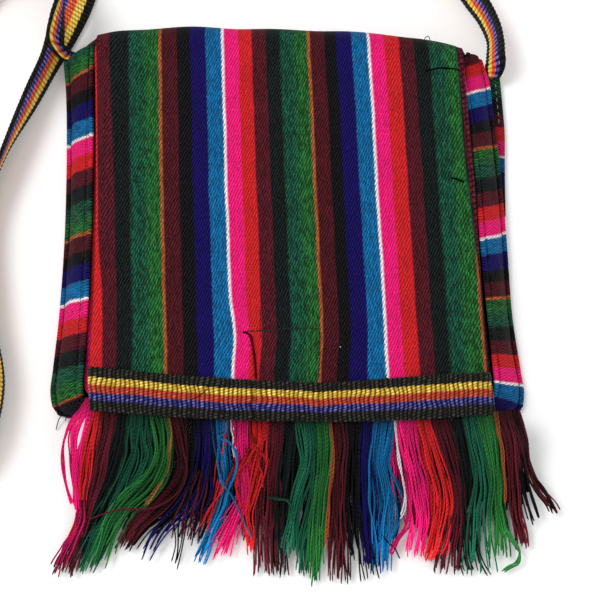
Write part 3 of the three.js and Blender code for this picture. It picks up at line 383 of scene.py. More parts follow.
class Sheet:
    """Small helper to write a shader as formulas."""

    def __init__(self, name):
        self.material = bpy.data.materials.new(name)
        self.material.use_nodes = True
        self.tree = self.material.node_tree
        self.shader = self.tree.nodes["Principled BSDF"]

    def node(self, kind, **settings):
        n = self.tree.nodes.new(kind)
        for k, v in settings.items():
            setattr(n, k, v)
        return n

    def put(self, socket, value):
        if isinstance(value, bpy.types.NodeSocket):
            self.tree.links.new(value, socket)
        else:
            socket.default_value = value

    def do(self, operation, *values):
        n = self.node("ShaderNodeMath", operation=operation)
        for socket, value in zip(n.inputs, values):
            self.put(socket, value)
        return n.outputs[0]

    def add(self, a, b):
        return self.do("ADD", a, b)

    def mul(self, a, b):
        return self.do("MULTIPLY", a, b)

    def place(self, layer):
        n = self.node("ShaderNodeUVMap", uv_map=layer)
        s = self.node("ShaderNodeSeparateXYZ")
        self.put(s.inputs[0], n.outputs[0])
        return s.outputs[0], s.outputs[1]

    def vector(self, x, y, z=0.0):
        n = self.node("ShaderNodeCombineXYZ")
        for socket, value in zip(n.inputs, (x, y, z)):
            self.put(socket, value)
        return n.outputs[0]

    def noise(self, vector, scale=1.0, detail=2.0):
        n = self.node("ShaderNodeTexNoise")
        self.put(n.inputs["Vector"], vector)
        self.put(n.inputs["Scale"], scale)
        self.put(n.inputs["Detail"], detail)
        return n.outputs[0]

    def ramp(self, value, stops):
        n = self.node("ShaderNodeValToRGB")
        r = n.color_ramp
        r.interpolation = "LINEAR"
        while len(r.elements) > 1:
            r.elements.remove(r.elements[-1])
        r.elements[0].position, r.elements[0].color = stops[0]
        for position, color in stops[1:]:
            e = r.elements.new(position)
            e.color = color
        self.put(n.inputs[0], value)
        return n.outputs[0]

    def mix(self, share, a, b, blend="MIX"):
        n = self.node("ShaderNodeMix", data_type="RGBA", blend_type=blend)
        self.put(n.inputs[0], share)
        self.put(n.inputs[6], a)
        self.put(n.inputs[7], b)
        return n.outputs[2]

    def between(self, value, a, b, c=0.0, d=1.0):
        n = self.node("ShaderNodeMapRange", interpolation_type="SMOOTHSTEP")
        for socket, v in zip(n.inputs, (value, a, b, c, d)):
            self.put(socket, v)
        return n.outputs[0]

    def finish(self, color, height=None, bump=0.3, depth=0.0003, roughness=0.85, sheen=0.2, specular=0.2):
        p = self.shader.inputs
        self.put(p["Base Color"], color)
        self.put(p["Roughness"], roughness)
        self.put(p["Specular IOR Level"], specular)
        self.put(p["Sheen Weight"], sheen)
        self.put(p["Sheen Roughness"], 0.45)
        if height is not None:
            n = self.node("ShaderNodeBump")
            self.put(n.inputs["Strength"], bump)
            self.put(n.inputs["Distance"], depth)
            self.put(n.inputs["Height"], height)
            self.put(p["Normal"], n.outputs[0])
        return self.material


def stripe_stops(pick=lambda key: linear(PAINT[key])):
    """Stripe colours over one repeat; most edges are sharp, the greens run into each other."""
    stops = [(0.0, pick("cyan")), (0.24 / REPEAT, pick("cyan")), (0.36 / REPEAT, pick("white"))]
    for (start, key), (_, before) in zip(STRIPES[1:], STRIPES[:-1]):
        soft = {"green": 1.7, "teal": 0.7}.get(key, 0.16)
        stops.append(((start - soft) / REPEAT, pick(before)))
        stops.append(((start + soft) / REPEAT, pick(key)))
    stops.append((1.0, pick("cyan")))
    return stops


def twill(name, lint=0.03, light=1.0):
    """Striped cotton twill. Texture place: across the stripes and along the warp, in mm."""
    m = Sheet(name)
    s, l = m.place("UVMap")
    drift = m.noise(m.vector(m.mul(s, 0.02), m.mul(l, 0.035)), 1.0, 2.0)
    s = m.add(s, m.mul(m.add(drift, -0.5), 1.2))
    jag = m.noise(m.vector(m.mul(s, 0.8), m.mul(l, 0.5)), 1.0, 2.0)
    s = m.add(s, m.mul(m.add(jag, -0.5), 0.3))
    warp = 0.42
    index = m.do("FLOOR", m.mul(s, 1 / warp))
    uneven = m.noise(m.vector(index, m.mul(l, 0.12)), 1.0, 1.0)
    float_at = m.add(m.add(m.mul(l, 1 / 2.7), m.mul(index, 1 / 3)), m.mul(uneven, 0.5))
    cycle = m.do("FRACT", float_at)
    hop = m.do("SINE", m.mul(cycle, math.pi))
    inside = m.do("FRACT", m.mul(s, 1 / warp))
    round_ = m.do("SINE", m.mul(inside, math.pi))
    height = m.mul(m.do("POWER", hop, 0.7), m.add(m.mul(round_, 0.45), 0.55))
    shift = m.add(s, m.mul(m.add(hop, -0.6), 0.5))
    color = m.ramp(m.do("FRACT", m.mul(shift, 1 / REPEAT)), stripe_stops())
    fade = m.noise(m.vector(m.mul(s, 1.6), m.mul(l, 0.06)), 1.0, 3.0)
    patch = m.noise(m.vector(m.mul(s, 0.05), m.mul(l, 0.05)), 1.0, 3.0)
    single = m.noise(m.vector(m.mul(index, 0.73), m.mul(l, 0.3)), 1.0, 1.0)
    value = m.add(m.add(m.mul(fade, 0.45), m.mul(single, 0.5)), m.add(m.mul(patch, 0.3), 0.38))
    # light below 1 makes a darker copy of the cloth: painted shade.
    value = m.mul(value, light)
    color = m.mix(1.0, color, m.vector(value, value, value), "MULTIPLY")
    mottle = m.noise(m.vector(m.mul(index, 2.37), m.mul(m.do("FLOOR", float_at), 3.71)), 1.0, 0.0)
    amount = m.ramp(m.do("FRACT", m.mul(shift, 1 / REPEAT)), stripe_stops(lambda key: (MOTTLE[key],) * 3 + (1.0,)))
    heather = m.add(m.mul(m.mul(m.between(mottle, 0.3, 0.7, -1.0, 1.0), amount), 0.55), 1.0)
    color = m.mix(1.0, color, m.vector(heather, heather, heather), "MULTIPLY")
    # Painted shade in the hollows between the warp floats and a painted highlight on their tops.
    gap = m.between(height, 0.12, 0.92, 0.42, 1.24)
    gap = m.add(m.mul(m.add(gap, -1.0), m.add(m.mul(amount, 0.45), 1.0)), 1.0)
    color = m.mix(1.0, color, m.vector(gap, gap, gap), "MULTIPLY")
    grain = m.noise(m.vector(m.mul(s, 3.1), m.mul(l, 1.7)), 1.0, 2.0)
    # Paler lint mixed onto the float tops, partly a painted highlight.
    worn = m.mul(m.between(height, 0.62, 0.98), m.between(grain, 0.35, 0.7, 0.2, 1.0))
    color = m.mix(m.mul(worn, m.add(m.mul(amount, 0.03), lint)), color, (0.5, 0.46, 0.45, 1.0))
    return m.finish(color, m.add(height, m.mul(grain, 0.35)), 0.6, 0.0004, 0.9, 0.03, 0.06)


BAND_STRIPES = [  # share of the width where each stripe ends, colour, and the lighter colour of the yarn tops, a painted highlight
    (0.232, (4, 4, 4), (66, 61, 49)), (0.4, (170, 130, 22), (250, 228, 112)), (0.583, (150, 46, 28), (216, 96, 60)),
    (0.765, (15, 13, 74), (112, 108, 182)), (1.0, (4, 4, 4), (62, 59, 50)),
]


def woven(name, light=1.0, gap=0.2, dark=1.0):
    """Ribbed woven band. Texture place: along the band and across it, in mm."""
    m = Sheet(name)
    x, w = m.place("UVMap")
    rib_at = m.mul(x, 1 / RIB)
    rib_no = m.do("FLOOR", rib_at)
    rib = m.do("SINE", m.mul(m.do("FRACT", rib_at), math.pi))
    odd = m.mul(m.do("MODULO", m.do("ABSOLUTE", rib_no), 2.0), 0.5)
    lean = m.mul(m.do("FRACT", rib_at), 0.6)
    row = m.add(m.add(m.mul(w, 1 / BEAD), odd), lean)
    bead = m.do("ABSOLUTE", m.do("SINE", m.mul(row, math.pi)))
    height = m.mul(m.do("POWER", m.do("MAXIMUM", rib, 0.001), 0.8), m.add(m.mul(m.do("POWER", m.do("MAXIMUM", bead, 0.001), 0.7), 0.65), 0.35))
    across = m.mul(m.add(w, m.mul(m.add(bead, -0.6), 0.45)), 1 / BAND_W)
    base, tops, before = [], [], None
    # light above 1 brightens the coloured stripes as painted light; dark scales the painted highlight of the black
    # stripes.
    for end, body, top in BAND_STRIPES:
        if max(body) > 30:
            body, top = [tuple(min(c * light, 255) for c in rgb) for rgb in (body, top)]
        else:
            top = tuple(c * dark for c in top)
        start = 0.0 if before is None else before + 0.012
        base += [(start, linear(body)), (max(end - 0.012, start + 0.001), linear(body))]
        tops += [(start, linear(top)), (max(end - 0.012, start + 0.001), linear(top))]
        before = end
    body = m.ramp(across, base)
    top = m.ramp(across, tops)
    spot = m.noise(m.vector(m.mul(rib_no, 1.7), m.do("FLOOR", row)), 1.0, 0.0)
    # The lighter top colour is a painted highlight on the ribs' high points, and the dips between them get painted
    # shade.
    color = m.mix(m.mul(m.between(height, 0.5, 0.92), m.between(spot, 0.32, 0.68, 0.2, 1.0)), body, top)
    shade = m.between(height, 0.1, 0.62, gap, 1.06)
    color = m.mix(1.0, color, m.vector(shade, shade, shade), "MULTIPLY")
    fine = m.noise(m.vector(m.mul(x, 2.6), m.mul(w, 2.6)), 1.0, 2.0)
    value = m.add(m.mul(fine, 0.6), 0.7)
    color = m.mix(1.0, color, m.vector(value, value, value), "MULTIPLY")
    return m.finish(color, m.add(height, m.mul(fine, 0.15)), 0.8, 0.0005, 0.72, 0.03, 0.14)


def yarn(name):
    """Two-ply yarn in the stripes' colours. Texture place: place in the repeat and length; turn and length; brightness and twist."""
    m = Sheet(name)
    s, l = m.place("UVMap")
    turn, _ = m.place("Twist")
    light, phase = m.place("Shade")
    color = m.ramp(m.do("FRACT", m.mul(s, 1 / REPEAT)), stripe_stops())
    ply = m.do("ABSOLUTE", m.do("SINE", m.mul(m.add(m.add(m.mul(turn, 2.0), phase), m.mul(l, 1 / 2.1)), math.pi)))
    hue = m.noise(m.vector(m.mul(s, 13.0), m.mul(l, 0.05), phase), 1.0, 2.0)
    # The ply's grooves are painted darker and its crests lighter: painted shade and highlight.
    value = m.mul(m.add(m.mul(hue, 0.8), 0.6), m.between(ply, 0.05, 0.7, 0.45, 1.12))
    # Darker near the root as painted shadow of the trim, lighter towards the tips as painted light; the Shade
    # brightness is partly random tone and partly painted light and shade.
    value = m.mul(m.mul(value, light), m.mul(m.between(l, 0.0, 13.0, 0.4, 1.0), m.between(l, 36.0, 68.0, 1.0, 1.8)))
    color = m.mix(1.0, color, m.vector(value, value, value), "MULTIPLY")
    fine = m.noise(m.vector(m.mul(turn, 9.0), m.mul(l, 2.5), s), 1.0, 2.0)
    color = m.mix(m.mul(m.between(fine, 0.55, 0.9), m.mul(light, 0.06)), color, (0.6, 0.58, 0.55, 1.0))
    return m.finish(color, m.add(ply, m.mul(fine, 0.3)), 0.8, 0.0003, 0.82, 0.04, 0.08)


def thread(name, rgb, worn, sheen=0.3):
    m = Sheet(name)
    turn, l = m.place("Twist")
    ply = m.do("ABSOLUTE", m.do("SINE", m.mul(m.add(m.mul(turn, 2.0), m.mul(l, 1 / 0.9)), math.pi)))
    spot = m.noise(m.vector(m.mul(turn, 3.0), m.mul(l, 0.8)), 1.0, 2.0)
    color = m.mix(m.mul(m.between(spot, 0.4, 0.8), 0.6), linear(rgb), linear(worn))
    shade = m.between(ply, 0.05, 0.5, 0.55, 1.05)
    color = m.mix(1.0, color, m.vector(shade, shade, shade), "MULTIPLY")
    return m.finish(color, ply, 0.6, 0.0002, 0.9 - sheen, sheen / 3, sheen)


# ---- flap surface -------------------------------------------------------------------------------------------
PATCH = [(-18.4, -56.7), (-10.0, -55.9), (2.0, -55.4), (15.9, -55.3), (15.6, -66.0), (15.2, -78.0)]  # the closure sewn on behind the flap
PATCH_FOLD = [(-18.4, -56.7), (-14.9, -58.6), (-14.3, -61.6), (-13.5, -66.2), (-13.0, -71.0), (-12.6, -78.0)]
CREASE = [(75, 81.0), (48.5, 82.2), (31.4, 82.9), (5, 85.0), (-20, 87.0), (-41, 89.0), (-60, 90.2), (-95, 92.0)]  # y, x of the right hem's fold
TUGS = [[(66.3, 66.9), (69.0, 67.6), (72.4, 68.4), (77.0, 68.3), (81.8, 67.8)], [(76.6, 15.0), (78.5, 14.6), (80.4, 13.8), (82.0, 13.3), (82.5, 13.1)]]


def crest_y(u):
    return along(CREST, u)


def flap_top_y(u):
    return crest_y(u) - FOLD_A


def trim_low_y(u):
    return along(TRIM, u)


def off_line(x, y, line):
    """Distance from points to a line of points."""
    best = np.full(np.shape(x), 1e9)
    for (x0, y0), (x1, y1) in zip(line[:-1], line[1:]):
        k = np.clip(((x - x0) * (x1 - x0) + (y - y0) * (y1 - y0)) / ((x1 - x0) ** 2 + (y1 - y0) ** 2), 0, 1)
        best = np.minimum(best, np.hypot(x - x0 - k * (x1 - x0), y - y0 - k * (y1 - y0)))
    return best


def flap_relief(x, y):
    """Small folds of the lying flap, on top of its crown."""
    z = 0.0
    for dx, dy, rx, ry, depth in DENTS:
        z = z - depth * np.exp(-(((x - dx) / rx) ** 2) - ((y - dy) / ry) ** 2)
    z = z + 0.22 * ripple(x, y, 3, 8, 26, 80)
    low = smooth(-56.5, -62.0, y)
    off = x - np.interp(-y, [-r[1] for r in PATCH_FOLD], [r[0] for r in PATCH_FOLD])
    lip = np.where(off < -1.7, 1.15 * np.exp(-(((off + 1.7) / 4.0) ** 2)), lerp(1.15, -0.85, smooth(-1.7, 0.1, off)))
    z = z + low * np.where(off < 0.1, lip, -0.85 * np.exp(-(((off - 0.1) / 2.0) ** 2)))
    z = z + 0.4 * smooth(-12.4, -9.0, x) * smooth(16.4, 14.6, x) * smooth(-54.8, -56.6, y)
    z = z - 0.6 * np.exp(-((off_line(x, y, PATCH[:4]) / 0.8) ** 2))
    z = z - 0.45 * np.exp(-((off_line(x, y, PATCH[3:]) / 0.7) ** 2))
    for line in TUGS:
        z = z - 0.6 * np.exp(-((off_line(x, y, line) / 0.7) ** 2)) + 0.3 * np.exp(-((off_line(x, y + 1.3, line) / 0.8) ** 2))
    z = z - 0.55 * np.exp(-(((x - along(CREASE, y)) / 0.7) ** 2))
    seam = np.exp(-np.maximum(y + 76.5, 0) / 9.0)
    z = z + seam * (0.16 * np.sin(x * 0.83 + 1.5 * np.sin(x * 0.19)) + 0.1 * np.sin(x * 1.7 + 0.8))
    return z


def flap_point(u, t, lift=0.0, roll=1.0):
    y = lerp(flap_top_y(u), trim_low_y(u), t)
    edge = along([r[:3] for r in FLAP], t)
    left, right = edge[..., 0], edge[..., 1]
    x = lerp(left, right, (u + 1) / 2)
    z = FLAP_Z + FLAP_CROWN * along([(r[0], r[3]) for r in FLAP], t) * (1 - u * u) + flap_relief(x, y)
    turn = lambda e, wide: 1 - np.sqrt(np.maximum(1 - np.clip(1 - e / wide, 0, 1) ** 2, 0))
    drop = 2.0 * turn(x - left, 3.6) + 2.6 * turn(right - x, 4.4)
    z = z - roll * drop * smooth(-0.02, 0.07, t)
    return np.stack([x, y, z + lift], -1)


STRIPE_X, STRIPE_S = np.array(FLAP_STRIPES).T


def flap_stripe(x, y):
    at = x + STRIPE_LEAN * (y + 19.4)
    at = at + 2.4 * smooth(-60, 30, y) * smooth(-76, -85, x)
    at = at - 1.7 * np.exp(-(((x + 23) / 7) ** 2) - ((y + 58) / 13) ** 2)  # pulled aside by the closure's seam
    at = at + 2.0 * smooth(-57, -78, y) * smooth(-14.5, -9, x) * (1 - smooth(26, 46, x))
    s = np.interp(at, STRIPE_X, STRIPE_S) + np.where(at > STRIPE_X[-1], at - STRIPE_X[-1], 0) + np.where(at < STRIPE_X[0], at - STRIPE_X[0], 0)
    hem = along(CREASE, y)
    dark = lerp(s, 86.5 + 0.3 * (x - hem), smooth(hem - 0.5, hem + 0.5, x))
    s = np.where(y > -19, dark, lerp(s, np.maximum(s, 111.2 + 0.3 * (x - hem)), smooth(hem - 0.5, hem + 0.5, x)))
    # At the left end of the fold the cloth turns dark maroon: painted shade where it gathers.
    return lerp(s, -50.6, smooth(-87.2, -88.6, x) * smooth(73, 79, y) * smooth(112, 100, y))


EDGE = np.array([0, 0.1, 0.26, 0.5, 0.8, 1.2, 1.7, 2.4, 3.2, 4.2, 5.4])
U = np.sort(np.concatenate([-1 + EDGE / 88, np.linspace(-1 + 6.7 / 88, 1 - 6.7 / 88, 126), (1 - EDGE / 88)[::-1], np.linspace(-0.226, -0.142, 14) + 0.0013]))
U_EDGE = np.minimum(1 + U, 1 - U) * 88
ROUNDED = np.sqrt(np.maximum(1 - (1 - np.minimum(U_EDGE, 0.75) / 0.75) ** 2, 0.012))

rows, level = [], []
for y in np.linspace(BACK[0][0], BACK[-1][0], 30):
    left, right = along(BACK, y)
    x = lerp(left, right, (U + 1) / 2)
    rows.append(np.stack([x, np.full_like(x, y), BACK_Z + 0.12 * (1 + ripple(x, y, 5, 6, 40, 90)) * (1 - U ** 8)], -1))
    level.append(flap_top_y(U) * 2 + 33 - y)
for k in np.linspace(0, 1, 7)[1:-1]:
    left, right = lerp(BACK[-1][1], FOLD[0][1], k), lerp(BACK[-1][2], FOLD[0][2], k)
    x = lerp(left, right, (U + 1) / 2)
    y = lerp(BACK[-1][0], flap_top_y(U), k)
    rows.append(np.stack([x, y, np.full_like(x, BACK_Z)], -1))
    level.append(flap_top_y(U) * 2 + 33 - y)
TOP = flap_point(U, np.zeros_like(U))
for turn in np.linspace(-90, 90, 34):
    left, right = along(FOLD, turn)
    x = lerp(left, right, (U + 1) / 2)
    c, s = math.cos(math.radians(turn)), math.sin(math.radians(turn))
    bulge = 1 + 0.05 * ripple(x, np.full_like(x, turn * 0.3), 9, 5, 18, 60)
    z = (BACK_Z + TOP[:, 2]) / 2 + (TOP[:, 2] - BACK_Z) / 2 * s
    rows.append(np.stack([x, flap_top_y(U) + FOLD_A * c * bulge, z], -1))
    level.append(flap_top_y(U) + (90 - turn) / 180 * 33)
share = (flap_top_y(U) - trim_low_y(U) - 2.2) / (flap_top_y(U) - trim_low_y(U))
for t in np.linspace(0, 1, 158)[1:]:
    p = flap_point(U, t * share)
    rows.append(p)
    level.append(p[:, 1])
P = np.array(rows)[:, ::-1]
LEVEL = np.array(level)[:, ::-1]
uv = np.stack([flap_stripe(P[..., 0], LEVEL), -LEVEL], -1)
# A thin line along the left hem's edge takes the red stripe's colour: a painted highlight where the hem rounds towards
# the light.
red = smooth(1.9, 0.4, (1 + U[::-1]) * 88)[None, :] * smooth(84, 78, LEVEL)
uv[..., 0] = lerp(uv[..., 0], np.minimum(uv[..., 0], -54.9), red)
TWILL = twill("striped_twill")
V, Q, W = shell(P, uv, CLOTH * ROUNDED[None, ::-1])
back_flap = piece("back_flap_cloth", V, Q, {"UVMap": W}, TWILL, ["back_flap"])

# The hems' returns, turned down beside the gusset's fins; their cloth is a darker copy of the twill, painted shade.
parts = []
ts = np.linspace(0.06, 0.985, 130)
for sign in (-1, 1):
    edge = flap_point(np.full_like(ts, sign), ts * 0.985)
    deep = (smooth(0.06, 0.3, ts) if sign < 0 else smooth(0.2, 0.45, ts)) * smooth(0.985, 0.95, ts)
    out = np.array([-0.5, 0.15, 0.5, 0.75, 0.9])[None, :] * (lerp(0.6, 1.05, smooth(0.3, 0.5, ts)) if sign < 0 else np.ones_like(ts))[:, None]
    down = np.array([0.2, 0.35, 0.8, 1.6, 2.7])[None, :] * deep[:, None] + 0.15
    P = np.stack([edge[:, :1] + sign * out * lerp(0.2, 1, deep)[:, None], np.broadcast_to(edge[:, 1:2], out.shape), edge[:, 2:] - down], -1)
    arc = np.array([-0.5, 0.2, 0.8, 1.7, 2.8])[None, :]
    uv = np.stack([flap_stripe(edge[:, :1] + 0 * arc, edge[:, 1:2] + 0 * arc) + sign * np.maximum(arc, 0), -edge[:, 1:2] + 0 * arc], -1)
    parts.append(shell(P[::-1] if sign < 0 else P, uv[::-1] if sign < 0 else uv, 0.5))
V, Q, W = joined(parts)
piece("flap_hems", V, Q, {"UVMap": W}, twill("striped_twill_hem_shaded", 0.02, 0.42))

# ---- front panel --------------------------------------------------------------------------------------------
def stitch_side(side):
    rows = sorted((r[4], r[3]) for r in GUSSET if r[3] * side > 84)
    return rows


ys = np.linspace(FRONT[0][0], FRONT[-1][0], 70)
us = np.linspace(-1, 1, 80)
inset = CLOTH / 2 + 0.35 + FRONT_FIN_IN + 0.6
rows = []
for y in ys:
    low = max(0.0, (-80 - y) / 6.5) ** 2 * 4
    x = lerp(along(stitch_side(-1), y) + inset + low, along(stitch_side(1), y) - inset - low, (us + 1) / 2)
    rows.append(np.stack([x, np.full_like(x, y), along(FRONT, y) + 2.2 * (1 - us ** 2) + 0.2 * ripple(x, y, 21, 6, 25, 80)], -1))
P = np.array(rows)
uv = np.stack([flap_stripe(P[..., 0], P[..., 1]), -P[..., 1]], -1)
V, Q, W = shell(P, uv, CLOTH)
front_panel = piece("front_panel_cloth", V, Q, {"UVMap": W}, TWILL, ["front_panel"])

# ---- gusset -------------------------------------------------------------------------------------------------
STATIONS = 320
G = np.array(GUSSET, float)
g = along(np.column_stack([np.arange(len(G)), G]), np.linspace(0, len(G) - 1, STATIONS))
tip, seam = g[:, :3].copy(), g[:, 3:].copy()
inward = unit(np.concatenate([(seam - tip)[:, :2], np.zeros((STATIONS, 1))], 1))
foot = tip + inward * FIN
rise = seam - foot
outward = unit(np.concatenate([-inward[:, :2] * rise[:, 2:], np.linalg.norm(rise[:, :2], axis=1)[:, None]], 1))
profile = [tip, foot] + [foot + rise * f + outward * GUSSET_BULGE * 4 * f * (1 - f) for f in (0.28, 0.55, 0.8)]
place = np.linspace(0, len(G) - 1, STATIONS)
lean_in = FRONT_FIN_IN + 1.3 * smooth(0.6, 2.0, place) * smooth(7.0, 5.8, place)
crown = seam + inward * lean_in[:, None]
crown[:, 2] = seam[:, 2] + FRONT_FIN_UP
profile = np.array(profile + [seam, crown])
key = np.concatenate([[0], np.linalg.norm(np.diff(profile, axis=0), axis=2).mean(1).cumsum()])
fine = np.unique(np.concatenate([np.linspace(0, key[-1], 30), key[1] + np.linspace(-1.3, 1.3, 9), key[5] + np.linspace(-1.3, 1.3, 9),
                                 [0.1, 0.3, key[-1] - 0.1, key[-1] - 0.3]]))
table = np.column_stack([key, profile.reshape(len(profile), -1)])
P = along(table, fine).reshape(len(fine), STATIONS, 3).transpose(1, 0, 2)
mid = P[:, len(fine) // 2]
RUN = np.concatenate([[0], np.linalg.norm(np.diff(mid, axis=0), axis=1).cumsum()])
q = fine[None, :] / key[-1]
near = np.minimum(np.abs(fine - key[1]), np.abs(fine - key[5]))[None, :]
groove = -0.55 * np.exp(-((near / 0.55) ** 2))
pucker = 0.16 * np.exp(-near / 2.2) * np.sin(RUN[:, None] * 2 * math.pi / 3.4 + 2 * np.sin(RUN[:, None] * 0.13))
slack = 0.28 * ripple(RUN[:, None] + 0 * q, fine[None, :] * 3 + 0 * RUN[:, None], 31, 7, 14, 50) * np.sin(q * math.pi)
end_dist = np.minimum(fine, key[-1] - fine)[None, :]
thick = (CLOTH + 0.75 * (smooth(key[1], key[1] - 0.8, fine) + smooth(key[5], key[5] + 0.7, fine)))[None, :]
thick = thick * np.sqrt(np.maximum(1 - (1 - np.minimum(end_dist, 1.0)) ** 2, 0.02))
# At the bottom-left corner the stripes run on past the orange hem into black: painted shade of the hollow where the
# gusset turns under.
GUSSET_LEFT = [(90, -45.4), (69.3, -27.34), (37.2, 0.72), (-10.6, 41.26), (-40.8, 69.3), (-86.0, 108.8), (-86.9, 110.4), (-87.7, 118.5), (-94.0, 121.5)]
GUSSET_RIGHT = [(-95, 327.4), (-79, 343.72), (-39.2, 384.26), (-10.3, 412.32), (32.9, 452.86), (60.8, 480.92), (90, 510.3)]
RIGHT_SLANT = [(-90, 2), (-45, 5), (-10, 7.5), (33, 7), (61, 10.5), (90, 11)]
stations = np.linspace(0, len(G) - 1, STATIONS)
on_left, on_right = stations < 7.2, stations > 13.7
left_s = np.interp(-mid[:, 1], [-r[0] for r in GUSSET_LEFT], [r[1] for r in GUSSET_LEFT])
right_s = np.interp(mid[:, 1], [r[0] for r in GUSSET_RIGHT], [r[1] for r in GUSSET_RIGHT])
known = on_left | on_right
S = np.interp(RUN, RUN[known], np.where(on_left, left_s, right_s)[known])
slant = (q - 0.5) * np.where(on_left, 1.0, np.where(on_right, np.interp(mid[:, 1], [r[0] for r in RIGHT_SLANT], [r[1] for r in RIGHT_SLANT]), 1.0))[:, None]
uv = np.stack([S[:, None] + slant, np.broadcast_to(fine[None, :] + 400, (STATIONS, len(fine)))], -1)
V, Q, W = shell(P[:, ::-1], uv[:, ::-1], thick[:, ::-1], (groove + pucker + slack)[:, ::-1], (0 * groove - slack * 0.9)[:, ::-1])
gusset = piece("gusset_cloth", V, Q, {"UVMap": W}, TWILL, ["gusset"])
N = -face_normals(P)
STITCH = thread("seam_thread", (30, 14, 18), (70, 40, 44))
lines = []
for k in (1, 5):
    c = int(np.argmin(np.abs(fine - key[k])))
    lines.append(P[:, c] + N[:, c] * (thick[0, c] / 2 - 0.28))
parts = [stitches(line, 3.1, 2.2, 0.24, 0.1) for line in lines]
V, Q, W, X = joined(parts)
piece("gusset_stitches", V, Q, {"UVMap": W, "Twist": X}, STITCH)

# ---- strap tab ----------------------------------------------------------------------------------------------
ys = np.linspace(TAB[-1][0], TAB[0][0], 90)
across = np.unique(np.concatenate([np.linspace(0, 1, 24), [0.006, 0.018, 0.035, 0.965, 0.982, 0.994]]))[::-1]
rows = []
for y in ys:
    outer, width = along(TAB, y)
    x = outer - width * across
    rows.append(np.stack([x, np.full_like(x, y), FIN_Z + 0.25 * across + 0.15 * np.sin(y * 0.21) * (1 - across)], -1))
P = np.array(rows)
border = np.minimum(across, 1 - across)[None, :] * along(TAB, ys)[:, 1:]
border = np.minimum(border, np.minimum(ys - ys[0], ys[-1] - ys)[:, None] + 0.05)
thick = 1.2 * np.sqrt(np.maximum(1 - (1 - np.minimum(border, 0.6) / 0.6) ** 2, 0.02))
TAB_STRIPES = [(80.9, 382.0), (71.0, 378.6), (65.9, 374.8), (56.0, 366.7), (49.0, 360.8), (45.0, 356.2), (39.9, 352.0), (31.6, 344.44), (30.6, 343.0), (23.9, 336.1), (16.9, 330.0), (2.6, 319.0), (-19.3, 293.0)]
tab_stripe = np.interp(-P[..., 1], [-r[0] for r in TAB_STRIPES], [r[1] for r in TAB_STRIPES])
uv = np.stack([tab_stripe, P[..., 0]], -1)
V, Q, W = shell(P, uv, thick)
# The tab's cloth is a darker copy of the twill with more lint: painted shade.
strap_tab = piece("strap_tab_cloth", V, Q, {"UVMap": W}, twill("striped_twill_worn_shaded", 0.05, 0.62), ["strap_tab"])
ys = np.linspace(69.5, 46, 60)
outer = along(TAB, ys)[:, 0]
PALE = thread("pale_thread", (120, 124, 112), (170, 172, 160))
V, Q, W, X = stitches(np.stack([outer - 2.6, ys, np.full_like(ys, FIN_Z + 0.62)], -1), 3.6, 2.1, 0.2, 0.15)
piece("tab_stitches", V, Q, {"UVMap": W, "Twist": X}, PALE)

# ---- trim band ----------------------------------------------------------------------------------------------
def band_relief(x, w):
    """Ribs and yarn beads of the woven band, 0 to 1."""
    at = x / RIB
    rib = np.abs(np.sin((at - np.floor(at)) * math.pi)) ** 0.75
    row = w / BEAD + np.mod(np.floor(at), 2) * 0.5 + (at - np.floor(at)) * 0.6
    return rib * (0.35 + 0.65 * np.abs(np.sin(row * math.pi)) ** 0.7)


BAND = woven("woven_band")
u = np.linspace(-1, 1, 420)
down = np.linspace(0, BAND_W, 46)[::-1]  # from the lower edge up
long = flap_top_y(u) - trim_low_y(u)
TRIM_TOP = [(-85.4, -0.4), (-73, -0.1), (-58, 0), (-43.6, 0.6), (-31.3, 0.8), (-21.6, 1.2), (-12.8, 1.6), (-4, 2.0), (7, 2.7), (14.9, 3.1),
            (22.4, 3.3), (36.3, 2.6), (46.6, 1.8), (59.6, 1.2), (74.5, 0.4), (92, 0)]  # x, sag of the upper edge
TRIM_LOW = [(-85, 0), (-31, 0), (-12.8, 0.35), (7, 0.7), (22.4, 1.2), (41, 1.3), (59.6, 1.2), (78, 0.2), (92, -0.3)]  # x, sag of the lower edge
wide = (92.8 + 85.2) / 2
x = 3.8 + u * wide
sag_top, sag_low = np.interp(x, *np.array(TRIM_TOP).T), np.interp(x, *np.array(TRIM_LOW).T)
rows = []
for d in down:
    high = lerp(-sag_low, BAND_W - sag_top, 1 - d / BAND_W)
    rows.append(flap_point(u, 1 - high / long, CLOTH / 2 + 0.35 + BAND_T / 2 + 0.2, 0.85))
P = np.array(rows)
D = np.broadcast_to(down[:, None], P.shape[:2])
X = np.broadcast_to((u * wide)[None, :], P.shape[:2])
X = X + 0.4 * ripple(X, D * 1.5, 41, 7, 7, 26) + 0.06 * D
edge = np.minimum(D, BAND_W - D)
wave = 0.35 * np.sin(X * 2 * math.pi / RIB) * np.exp(-edge / 1.2) * np.sign(BAND_W / 2 - D)
P[..., 1] -= wave * 0.6
P[..., 2] += 0.12 * np.sin(X * 0.31 + 1.0) + 0.08 * np.sin(X * 0.77)
P[..., 2] -= 0.5 * np.exp(-((X + 16.0) / 1.6) ** 2)
P[..., 2] -= 0.45 * np.exp(-edge / 0.7)
D = D + (0.3 * ripple(X, D * 0.2, 43, 6, 16, 45) - 0.9 * np.exp(-(((X - 12.0) / 3.6) ** 2))) * np.sin(D / BAND_W * math.pi)
thick = BAND_T * np.sqrt(np.maximum(1 - (1 - np.minimum(edge, 0.8) / 0.8) ** 2, 0.06))
relief = 0.5 * (band_relief(X, D) - 0.5)
uv = np.stack([X, D], -1)
V, Q, W = shell(P, uv, thick, relief, 0.0)
trim = piece("trim_band_weave", V, Q, {"UVMap": W}, BAND, ["trim_band"])

